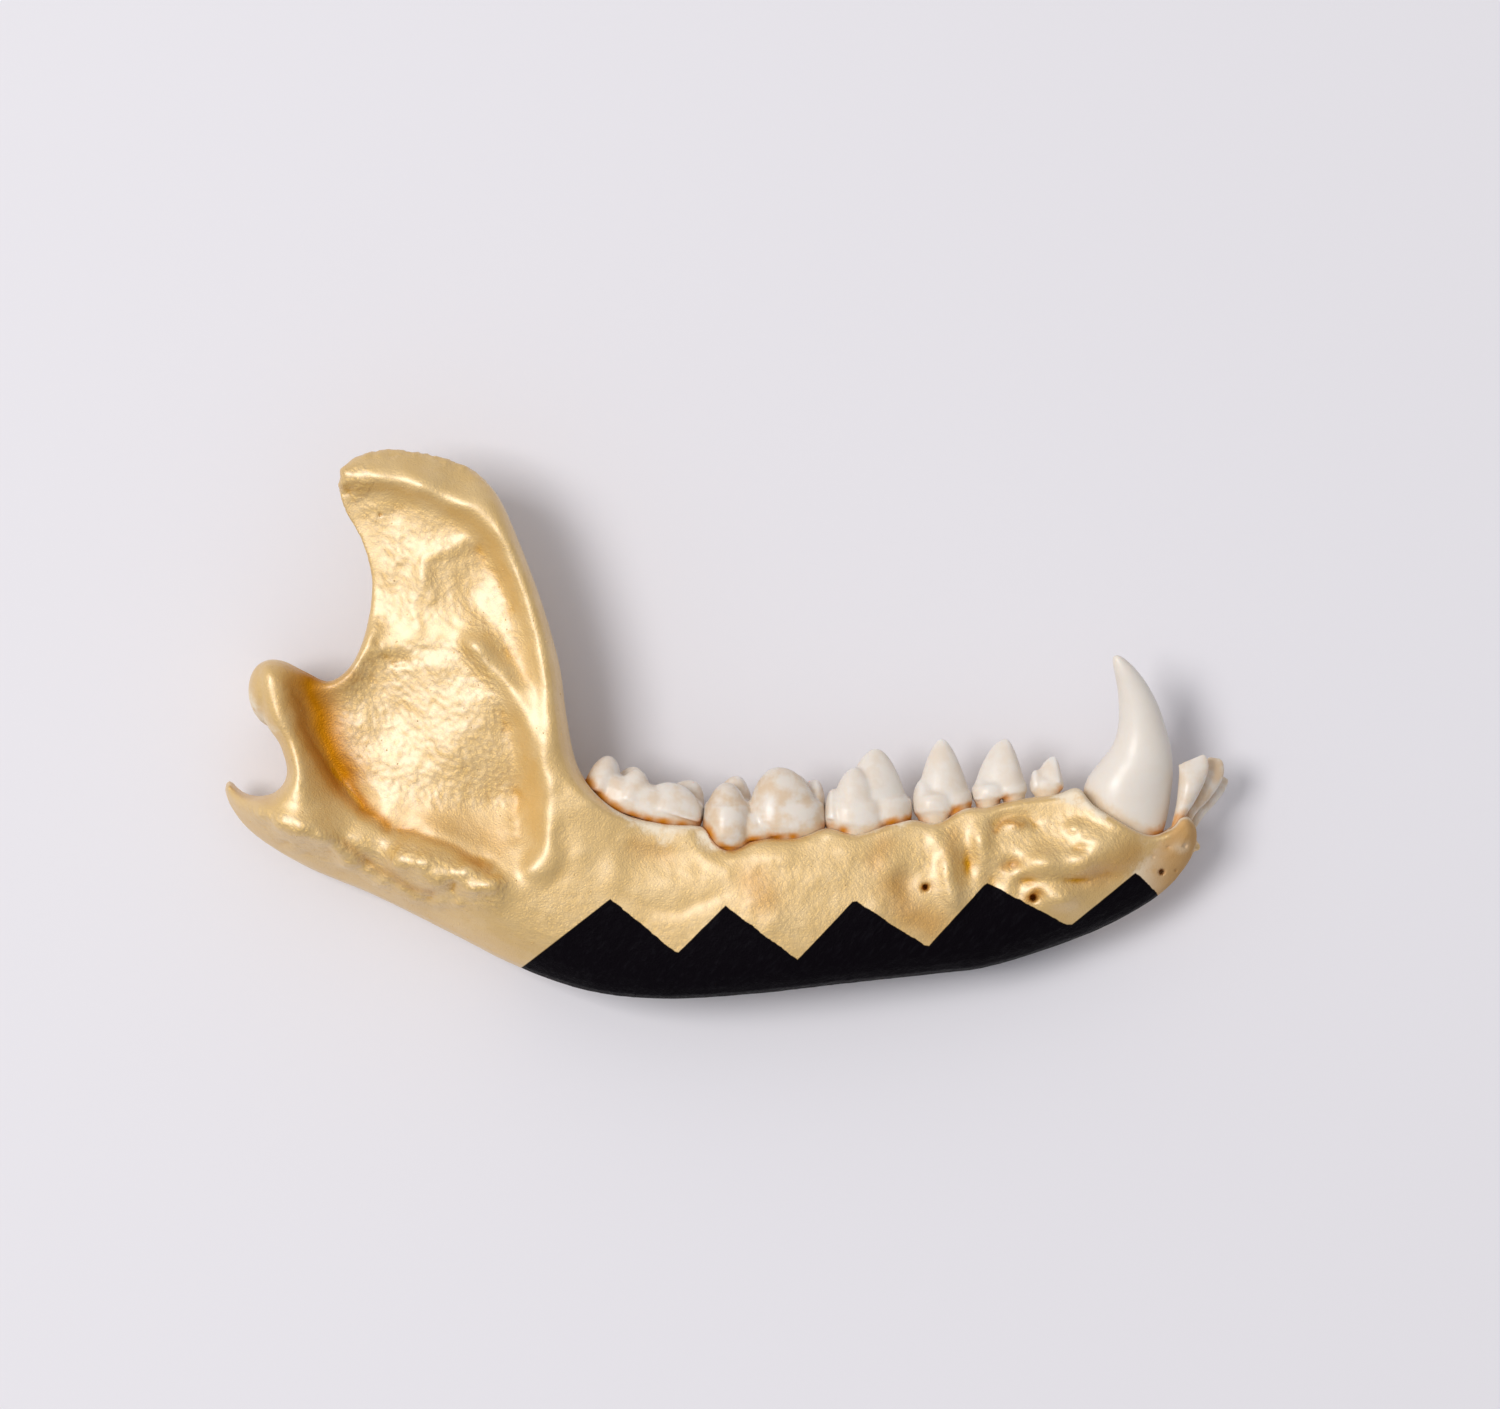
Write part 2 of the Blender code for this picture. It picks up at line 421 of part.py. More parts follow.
def bone_body(name):
    """The body and ramus of the bone as one closed mesh object, in millimetres."""
    places, faces, on_rim, rim_height, outer, inner = bone_sheets()
    shape = bmesh.new()
    top, bottom = [], []
    for (x, y), edge, level, high, low in zip(places, on_rim, rim_height, outer, inner):
        upper = shape.verts.new((x, y, level if edge else high))
        top.append(upper)
        bottom.append(upper if edge else shape.verts.new((x, y, low)))
    for face in faces:
        shape.faces.new([top[i] for i in face])
        under = [bottom[i] for i in reversed(face)]
        shape.faces.new(under)
    bmesh.ops.recalc_face_normals(shape, faces=shape.faces)
    return as_object(name, shape)


def condyle_barrel(name):
    """The barrel of the joint surface, blunt at both ends, in millimetres."""
    outer = Vector(CONDYLE["outer"])
    inner = Vector(CONDYLE["inner"])
    axis = outer - inner
    shape = bmesh.new()
    bmesh.ops.create_uvsphere(shape, u_segments=28, v_segments=18, radius=1.0)
    for vertex in shape.verts:
        x, y, z = vertex.co
        bluntness = CONDYLE["squareness"]
        along = math.copysign(abs(z) ** bluntness, z) if abs(z) > 1e-6 else 0.0
        middle = inner + axis * (0.5 + 0.5 * along)
        vertex.co = middle + Vector((x * CONDYLE["half_length"], y * CONDYLE["half_height"], 0))
    return as_object(name, shape)


def as_object(name, shape, collection=None):
    """A scene object that holds a bmesh, in the part's collection or the one given."""
    mesh = bpy.data.meshes.new(name)
    shape.to_mesh(mesh)
    shape.free()
    thing = bpy.data.objects.new(name, mesh)
    (collection or jaw).objects.link(thing)
    return thing


def evaluated(thing):
    """Apply the object's modifiers to its mesh."""
    bpy.context.view_layer.update()
    result = bpy.data.meshes.new_from_object(thing.evaluated_get(
        bpy.context.evaluated_depsgraph_get()))
    thing.modifiers.clear()
    thing.data = result


def remove(thing):
    bpy.data.objects.remove(thing, do_unlink=True)


def fused_bone(pieces):
    """Fuse the pieces by a voxel remesh, smooth the joins and thin the faces out."""
    joined = bmesh.new()
    for piece in pieces:
        joined.from_mesh(piece.data)
        remove(piece)
    bone = as_object("mandible", joined)
    remesh = bone.modifiers.new("fuse", "REMESH")
    remesh.mode = "VOXEL"
    remesh.voxel_size = VOXEL
    relax = bone.modifiers.new("relax", "SMOOTH")
    relax.factor = 0.5
    relax.iterations = 4
    evaluated(bone)
    triangles = sum(len(face.vertices) - 2 for face in bone.data.polygons)
    thin = bone.modifiers.new("thin", "DECIMATE")
    thin.ratio = BONE_FACES / triangles
    thin.use_collapse_triangulate = True
    evaluated(bone)
    return bone


def slice_feet(bone):
    """Slice the lowest places off level, so that the bone rests on small flats."""
    shape = bmesh.new()
    shape.from_mesh(bone.data)
    lowest = min(vertex.co.z for vertex in shape.verts)
    everything = list(shape.verts) + list(shape.edges) + list(shape.faces)
    bmesh.ops.bisect_plane(shape, geom=everything, plane_co=(0, 0, lowest + FOOT_CUT),
                           plane_no=(0, 0, 1), clear_inner=True)
    rims = [edge for edge in shape.edges if edge.is_boundary]
    bmesh.ops.holes_fill(shape, edges=rims, sides=0)
    bmesh.ops.triangulate(shape, faces=[face for face in shape.faces if len(face.verts) > 3])
    shape.to_mesh(bone.data)
    shape.free()
    return lowest + FOOT_CUT


def lofted(name, rings, collection=None):
    """A closed mesh object through rings of equally many points, capped by fans."""
    shape = bmesh.new()
    rows = [[shape.verts.new(point) for point in ring] for ring in rings]
    for lower, upper in zip(rows, rows[1:]):
        for i in range(len(lower)):
            j = (i + 1) % len(lower)
            shape.faces.new((lower[i], lower[j], upper[j], upper[i]))
    for row, turned in ((rows[0], True), (rows[-1], False)):
        middle = shape.verts.new(sum((vertex.co for vertex in row), Vector()) / len(row))
        for i in range(len(row)):
            j = (i + 1) % len(row)
            face = (row[i], row[j], middle)
            shape.faces.new(face[::-1] if turned else face)
    bmesh.ops.recalc_face_normals(shape, faces=shape.faces)
    return as_object(name, shape, collection)


def plan_ring(tooth, share_along, share_across, grow=0.0):
    """The tooth's plan outline, scaled, as (along, across) pairs."""
    ring = []
    for i in range(TOOTH_SIDES):
        angle = 2 * math.pi * i / TOOTH_SIDES
        c, s = math.cos(angle), math.sin(angle)
        power = 2 / tooth["plan"]
        along = math.copysign(abs(c) ** power, c) * tooth["length"] / 2
        across = math.copysign(abs(s) ** power, s) * tooth["width"] / 2
        across *= 1 - tooth["waist"] * (1 - abs(c)) ** 2
        ring.append((along * share_along + grow * c, across * share_across + grow * s))
    return ring


def crown_height(tooth, along, across):
    """Height of the crown over one place: its floor, or the crests that rise from it."""
    here = np.array((along, across))
    total = math.exp(6 * tooth["floor"])
    for start, end, reach, steepness in tooth["crests"]:
        a, b = np.array(start[:2]), np.array(end[:2])
        t = float(np.clip((here - a) @ (b - a) / ((b - a) @ (b - a)), 0, 1))
        away = float(np.linalg.norm(here - a - t * (b - a)))
        top = start[2] + (end[2] - start[2]) * t
        fall = max(0.0, 1 - (math.hypot(away, 0.25) - 0.25) / reach) ** steepness
        total += math.exp(6 * (tooth["floor"] + (top - tooth["floor"]) * fall))
    return math.log(total) / 6


def tooth_point(tooth, along, across, up):
    """A place in the jaw for a place in the tooth's own frame."""
    turn = math.radians(tooth["turn"])
    x, y, z = tooth["neck"]
    return Vector((x + along * math.cos(turn) - up * math.sin(turn),
                   y + along * math.sin(turn) + up * math.cos(turn), z + across))


# Levels of a cheek tooth below its widest one: share of the root or crown, and the
# shares of its length and width there.
ROOT_LEVELS = [(-1.0, 0.5, 0.34), (-0.6, 0.72, 0.5), (-0.12, 0.86, 0.7)]
NECK_LEVELS = [(0.15, 0.9, 0.8), (0.6, 0.975, 0.95)]
CROWN_SHARES = (0.97, 0.89, 0.78, 0.64, 0.48, 0.3, 0.13)
CROWN_BLUNTNESS = 4.6


def cheek_tooth(name, tooth):
    """One cheek tooth, root and crown."""
    rings = []
    for level, along, across in ROOT_LEVELS:
        rings.append([tooth_point(tooth, a, b, level * tooth["root"])
                      for a, b in plan_ring(tooth, along, across)])
    for level, along, across in NECK_LEVELS + [(1.0, 1.0, 1.0)]:
        rings.append([tooth_point(tooth, a, b, level * tooth["shoulder"])
                      for a, b in plan_ring(tooth, along, across)])
    for share in CROWN_SHARES:
        lift = (1 - share ** CROWN_BLUNTNESS) ** (1 / CROWN_BLUNTNESS)
        rings.append([tooth_point(tooth, a, b, tooth["shoulder"] + lift
                                  * (crown_height(tooth, a, b) - tooth["shoulder"]))
                      for a, b in plan_ring(tooth, share, share)])
    return lofted(name, rings)


def cheek_socket(name, tooth):
    """The room that one cheek tooth needs in the bone."""
    rings = [[tooth_point(tooth, a, b, -tooth["root"] - GAP)
              for a, b in plan_ring(tooth, 0.42, 0.28, GAP)]]
    for level, along, across in ROOT_LEVELS:
        rings.append([tooth_point(tooth, a, b, level * tooth["root"])
                      for a, b in plan_ring(tooth, along, across, 1.15 * GAP)])
    for level, along, across in NECK_LEVELS:
        rings.append([tooth_point(tooth, a, b, level * tooth["shoulder"])
                      for a, b in plan_ring(tooth, along, across, 1.15 * GAP)])
    for height in (tooth["shoulder"], tooth["shoulder"] + 4.0):
        rings.append([tooth_point(tooth, a, b, height)
                      for a, b in plan_ring(tooth, 1.0, 1.0, 1.15 * GAP)])
    return lofted(name, rings, sockets)


def front_ring(level, direction, grow=0.0):
    """One ring of a front tooth, square to its line."""
    x, y, z, half_depth, half_breadth = level
    ring = []
    for i in range(TOOTH_SIDES):
        angle = 2 * math.pi * i / TOOTH_SIDES
        out = (half_depth + grow) * math.cos(angle)
        ring.append(Vector((x + out * direction[1], y - out * direction[0],
                            z + (half_breadth + grow) * math.sin(angle))))
    return ring


def front_tooth(name, levels, grow=0.0, socket=False):
    """A canine or incisor, or the room that its root needs."""
    if socket:
        first, second = (np.array(levels[i]) for i in (0, 1))
        tip = first - (second - first) * GAP / np.linalg.norm((second - first)[:3])
        levels = [tuple(tip)] + [tuple(level) for level in levels]
    places = np.array(levels)[:, :2]
    rings = []
    for i, level in enumerate(levels):
        line = places[min(i + 1, len(levels) - 1)] - places[max(i - 1, 0)]
        line = line / np.linalg.norm(line)
        lean = line * 0.35 + np.array((0.0, 0.65)) if name.startswith("canine") else line
        rings.append(front_ring(level, lean / np.linalg.norm(lean), grow))
    return lofted(name, rings, sockets if socket else jaw)


def cut_sockets(bone):
    """Take the room of every root out of the bone."""
    boolean = bone.modifiers.new("sockets", "BOOLEAN")
    boolean.operation = "DIFFERENCE"
    boolean.operand_type = "COLLECTION"
    boolean.solver = "EXACT"
    boolean.collection = sockets
    evaluated(bone)
    for cutter in list(sockets.objects):
        remove(cutter)


def largest_body(bone):
    """Keep only the largest closed surface of the bone."""
    shape = bmesh.new()
    shape.from_mesh(bone.data)
    bmesh.ops.triangulate(shape, faces=shape.faces)
    left = set(shape.verts)
    bodies = []
    while left:
        front = [left.pop()]
        body = set(front)
        while front:
            vertex = front.pop()
            for edge in vertex.link_edges:
                other = edge.other_vert(vertex)
                if other in left:
                    left.remove(other)
                    body.add(other)
                    front.append(other)
        bodies.append(body)
    bodies.sort(key=len)
    for body in bodies[:-1]:
        bmesh.ops.delete(shape, geom=list(body), context="VERTS")
    shape.to_mesh(bone.data)
    shape.free()


def place(things, floor):
    """Turn the millimetres into metres, with the origin under the middle of the part."""
    corners = np.array([tuple(vertex.co) for thing in things for vertex in thing.data.vertices])
    middle = (corners.min(axis=0) + corners.max(axis=0)) / 2
    for thing in things:
        for vertex in thing.data.vertices:
            x, y, z = vertex.co
            vertex.co = ((x - middle[0]) * MM, (y - middle[1]) * MM, (z - floor) * MM)


def main():
    bone = fused_bone([bone_body("body"), condyle_barrel("condyle")])
    floor = slice_feet(bone)
    teeth = []
    for name, tooth in CHEEK_TEETH.items():
        cheek_socket(name + "_socket", tooth)
        teeth.append(cheek_tooth("tooth_" + name, tooth))
    front_tooth("canine_socket", CANINE[:5], 1.15 * GAP, socket=True)
    teeth.append(front_tooth("canine", CANINE))
    for name, levels in INCISORS.items():
        front_tooth(name + "_socket", levels[:3], 1.15 * GAP, socket=True)
        teeth.append(front_tooth("tooth_" + name, levels))
    cut_sockets(bone)
    largest_body(bone)
    place([bone] + teeth, floor)
    bone.data.materials.clear()
    bone.data.materials.append(finish("gold_paint"))
    enamel = finish("enamel")
    for tooth in teeth:
        tooth.data.materials.append(enamel)
    for thing in [bone] + teeth:
        thing.data.shade_smooth()


for old in list(bpy.data.objects):
    bpy.data.objects.remove(old, do_unlink=True)
jaw = bpy.data.collections.new("raccoon_jawbone")
sockets = bpy.data.collections.new("sockets")
bpy.context.scene.collection.children.link(jaw)
bpy.context.scene.collection.children.link(sockets)
main()
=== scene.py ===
"""A raccoon's right lower jawbone, painted gold with a black zigzag along its lower border.

The frame holds the solids, in metres. The values here are millimetres in the jaw's own
plan: X runs from the jaw joint to the front teeth, Y from the lower border to the tooth
row, and Z from the table up to the outer side. to_frame() turns them into metres in the
frame. Each operator makes one piece, one group of like pieces or the stage.
"""

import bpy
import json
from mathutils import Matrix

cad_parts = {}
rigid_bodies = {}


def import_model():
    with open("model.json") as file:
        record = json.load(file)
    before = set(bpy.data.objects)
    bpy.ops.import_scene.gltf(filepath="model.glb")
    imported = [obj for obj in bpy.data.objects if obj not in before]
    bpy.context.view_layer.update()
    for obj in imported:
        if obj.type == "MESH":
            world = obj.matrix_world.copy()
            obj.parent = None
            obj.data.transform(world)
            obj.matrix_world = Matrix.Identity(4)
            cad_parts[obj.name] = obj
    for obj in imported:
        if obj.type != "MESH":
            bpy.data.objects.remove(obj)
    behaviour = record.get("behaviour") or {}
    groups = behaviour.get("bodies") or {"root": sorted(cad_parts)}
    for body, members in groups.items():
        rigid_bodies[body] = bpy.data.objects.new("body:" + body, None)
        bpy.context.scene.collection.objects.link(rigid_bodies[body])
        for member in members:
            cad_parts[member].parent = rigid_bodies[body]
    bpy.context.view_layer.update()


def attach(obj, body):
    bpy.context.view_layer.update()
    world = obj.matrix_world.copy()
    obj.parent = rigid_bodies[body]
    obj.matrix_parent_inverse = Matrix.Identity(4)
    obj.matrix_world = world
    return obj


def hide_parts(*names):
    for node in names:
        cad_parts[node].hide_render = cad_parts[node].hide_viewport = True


bl_info = {
    "name": "Painted Raccoon Jawbone",
    "version": (1, 0, 0),
    "blender": (4, 5, 0),
    "location": "3D View > Sidebar > Jawbone",
    "description": "Makes a raccoon's painted jawbone, tooth by tooth, round a fixed frame",
    "category": "Object",
}

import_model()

import json
import math

import bmesh
import bpy
import numpy as np
from bpy.props import FloatProperty, FloatVectorProperty, IntProperty, PointerProperty
from bpy.types import Operator, Panel, PropertyGroup
from mathutils import Vector, noise
from mathutils.bvhtree import BVHTree
from mathutils.geometry import delaunay_2d_cdt

MM = 0.001              # metres in a millimetre
IMAGE = (1500, 1409)    # the photograph's size in pixels
IMAGE_ORIGIN = (725.5, 724.5)   # the pixel where X and Y are zero
PIXELS_PER_MM = 12.0    # at the height of the bone's outer side
VIEW_HEIGHT = 8.0       # the height where that scale holds
VIEW_DISTANCE = 600.0   # from the camera to that height
SHIFT = (-0.0888, 0.1403, 0.2808)    # from this plan's zero to the frame's, in millimetres

# The bone's edge, border by border and anticlockwise seen from the outer side.
# Each point is x, y, the height of the edge and the radius that rounds it.
ALVEOLAR = [
    (38.7, -7.7, 5.3, 0.7), (37.9, -7.7, 5.6, 0.6), (37.2, -8.6, 5.8, 0.5), (35.8, -9.2, 6.1, 0.45),
    (34.3, -8.9, 6.4, 0.45), (32.4, -7.8, 6.8, 0.5), (30.6, -6.6, 7.0, 0.5),
    (29.4, -5.3, 7.1, 0.6), (27.6, -5.8, 7.2, 0.6), (24.0, -6.3, 7.5, 0.6),
    (21.6, -6.9, 7.7, 0.6), (19.8, -7.0, 7.9, 0.6), (17.6, -8.2, 8.1, 0.6),
    (15.4, -7.9, 8.3, 0.6), (13.2, -8.4, 8.5, 0.6), (10.8, -9.1, 8.6, 0.6),
    (8.4, -8.6, 8.7, 0.6), (6.0, -9.3, 8.9, 0.6), (2.6, -9.5, 9.0, 0.6),
    (0.2, -10.1, 9.0, 0.6), (-1.9, -8.5, 9.0, 0.6), (-5.0, -8.2, 9.0, 0.7),
    (-8.4, -7.4, 9.0, 0.8), (-10.8, -5.6, 8.8, 1.3),
]
CORONOID_FRONT = [
    (-12.4, -3.2, 8.6, 2.1), (-13.2, 0.6, 9.1, 2.0), (-13.8, 5.0, 9.6, 1.9),
    (-15.2, 10.0, 10.3, 1.8), (-17.2, 15.4, 11.0, 1.7), (-19.0, 19.2, 11.2, 1.5),
]
CORONOID_TOP = [
    (-21.3, 21.3, 11.2, 1.2), (-25.0, 22.6, 11.2, 1.1), (-28.6, 22.8, 11.2, 1.0),
    (-31.1, 21.9, 11.2, 1.0), (-32.0, 20.0, 11.2, 1.0),
]
CORONOID_REAR = [
    (-31.5, 17.7, 11.2, 1.2), (-30.1, 15.1, 10.8, 1.2), (-29.4, 12.4, 10.4, 1.2),
    (-29.5, 9.6, 10.0, 1.2), (-30.2, 6.8, 9.7, 1.2), (-31.3, 4.7, 9.5, 1.3),
]
CONDYLE_NECK = [
    (-33.0, 3.6, 9.4, 1.8), (-34.9, 4.4, 9.4, 2.0), (-36.8, 5.3, 9.4, 2.2),
    (-38.4, 5.2, 9.2, 2.2), (-39.2, 3.2, 8.8, 2.2), (-38.3, 0.2, 8.4, 2.2),
    (-37.0, -1.9, 7.8, 2.0), (-36.6, -4.2, 6.8, 1.9),
]
ANGULAR = [
    (-37.6, -5.6, 5.6, 1.5), (-39.2, -6.0, 4.6, 1.1), (-40.6, -5.6, 4.1, 0.8),
    (-41.6, -4.7, 3.9, 0.6), (-42.0, -5.4, 3.6, 0.8), (-41.4, -7.1, 3.4, 1.2),
    (-39.5, -9.3, 3.2, 1.9),
]
VENTRAL_REAR = [
    (-35.5, -11.8, 3.2, 2.8), (-29.6, -14.3, 3.4, 3.2), (-23.8, -17.1, 4.2, 3.6),
    (-17.5, -20.2, 5.6, 3.9),
]
VENTRAL = [
    (-11.7, -22.2, 6.6, 4.1), (-5.4, -22.9, 7.3, 4.2), (2.2, -22.5, 7.4, 4.2),
    (10.4, -21.6, 6.8, 4.1), (17.2, -20.9, 6.0, 4.0), (22.0, -20.3, 5.2, 3.8),
    (27.9, -18.5, 4.6, 3.4), (32.5, -16.6, 4.6, 3.2),
]
CHIN = [
    (36.3, -14.3, 4.8, 3.0), (38.4, -12.1, 5.0, 2.8), (39.3, -10.3, 5.1, 2.2),
    (39.4, -8.8, 5.1, 1.4),
]
EDGE = (ALVEOLAR + CORONOID_FRONT + CORONOID_TOP + CORONOID_REAR + CONDYLE_NECK
        + ANGULAR + VENTRAL_REAR + VENTRAL + CHIN)

# Spot heights of the outer face, without its ridges and creases: x, y, z.
CORONOID_SPOTS = [
    (-31.2, 20.6, 12.3), (-28.8, 20.4, 12.8), (-25.0, 19.8, 13.2), (-21.5, 18.2, 13.2),
    (-18.7, 15.2, 13.1), (-17.0, 12.0, 12.9), (-16.0, 9.5, 12.8), (-15.1, 6.0, 12.7),
    (-14.6, 2.5, 12.6), (-29.2, 22.1, 12.1), (-25.0, 21.7, 12.2), (-21.6, 20.2, 12.4),
    (-30.9, 18.2, 11.4), (-27.0, 17.8, 11.8), (-23.0, 16.6, 12.2),
    (-29.2, 15.0, 10.9), (-26.0, 15.0, 11.6), (-22.6, 14.4, 11.8), (-20.3, 14.6, 12.0),
    (-28.8, 12.0, 10.6), (-25.5, 12.0, 11.4), (-22.0, 12.0, 11.3), (-18.8, 12.0, 11.9),
    (-29.0, 9.0, 10.5), (-26.0, 9.0, 11.1), (-22.0, 9.0, 11.5), (-18.0, 9.0, 12.0),
    (-29.9, 6.9, 11.0), (-27.0, 6.3, 10.9), (-23.0, 6.3, 11.4), (-20.3, 6.4, 11.9),
    (-17.4, 6.0, 11.9),
]
FOSSA_SPOTS = [
    (-31.3, 4.0, 11.0), (-33.2, 2.6, 10.1), (-35.2, 3.6, 11.6), (-31.6, 1.8, 10.0),
    (-29.8, 3.8, 10.2), (-27.0, 3.0, 10.4), (-24.0, 3.0, 11.0), (-21.0, 3.0, 11.6),
    (-18.8, 3.0, 11.8), (-16.0, 2.0, 12.1), (-33.2, -0.6, 9.7), (-31.0, 0.0, 9.8),
    (-28.0, 0.0, 9.9), (-24.0, 0.0, 10.8), (-20.0, 0.0, 11.4), (-17.9, -0.4, 11.3),
    (-15.2, -1.0, 12.2), (-32.2, -3.4, 9.6), (-30.0, -3.0, 9.7), (-26.0, -3.0, 10.2),
    (-22.0, -3.0, 10.8), (-18.0, -3.0, 10.9), (-30.6, -6.2, 9.8), (-27.0, -6.0, 10.0),
    (-22.0, -6.0, 10.1), (-17.2, -6.0, 10.2), (-26.8, -8.9, 10.35), (-22.0, -8.8, 10.5),
    (-18.0, -8.8, 10.5), (-20.4, -11.6, 11.2), (-17.0, -11.0, 11.2),
]
OUTER_SPOTS = CORONOID_SPOTS + FOSSA_SPOTS + [
    (-14.2, -4.0, 12.6), (-13.8, -7.5, 12.3), (-13.6, -11.0, 11.8),     # front of the ramus
    (-36.7, 0.2, 12.1), (-35.7, -3.0, 11.9), (-35.2, -6.0, 11.6), (-37.8, 3.6, 12.3),
    (-33.6, -8.4, 10.7), (-30.2, -9.3, 10.5), (-27.0, -10.7, 11.1), (-24.2, -11.6, 11.8),
    (-20.6, -12.9, 11.9), (-17.0, -13.6, 11.6),                         # masseter's border
    (-40.6, -6.6, 6.6), (-38.4, -7.9, 9.0), (-36.0, -9.0, 9.9),         # angular process
    (-24.0, -14.8, 8.8), (-32.0, -12.2, 7.2),                           # flank under the scar
    (-6.7, -8.4, 11.5), (3.2, -9.8, 11.3), (12.0, -9.8, 10.8),          # under the molars
    (18.0, -8.8, 10.0), (27.0, -7.2, 9.4),                              # under the premolars
    (-8.0, -13.0, 11.5), (3.0, -14.5, 11.6), (3.0, -19.0, 11.0),        # body
    (14.0, -13.5, 10.9), (14.0, -18.6, 10.1), (25.0, -12.0, 10.0),
    (25.0, -16.6, 8.9), (32.5, -11.0, 9.3), (37.6, -9.4, 8.7), (36.8, -12.4, 7.2),
]
# Spot heights of the inner face, without the symphysis.
INNER_SPOTS = [
    (38.0, -10.0, 3.1), (33.0, -8.6, 3.0), (27.0, -7.6, 2.6), (20.0, -8.6, 2.8),
    (15.0, -13.0, 2.4), (15.0, -18.0, 2.6), (9.0, -13.0, 3.8), (9.0, -18.0, 4.2),
    (12.0, -9.6, 4.2), (3.0, -9.8, 4.6), (-7.0, -8.6, 5.0),
    (0.0, -14.0, 4.6), (0.0, -19.6, 5.2), (-11.0, -12.0, 4.9), (-10.0, -19.0, 4.2),
    (-15.0, 0.0, 6.8), (-19.0, -10.0, 4.0), (-19.5, -16.2, 1.6),
    (-25.5, -14.0, -0.6), (-31.5, -11.6, -0.5), (-27.0, -5.0, 5.2),
    (-36.0, -8.4, 0.7), (-40.2, -7.0, 1.8), (-34.0, 0.0, 6.4), (-38.0, 3.0, 6.2),
    (-26.0, 5.0, 7.4), (-18.0, 10.0, 8.6), (-27.0, 13.0, 9.1),
    (-20.0, 18.0, 10.4), (-30.0, 20.5, 11.0), (-25.0, 21.0, 11.2),
]
SYMPHYSIS = {"centre": (29.6, -12.6), "reach": (9.4, 4.6), "tilt": -8.0,
             "hinge_x": 22.2, "slope": 0.19}

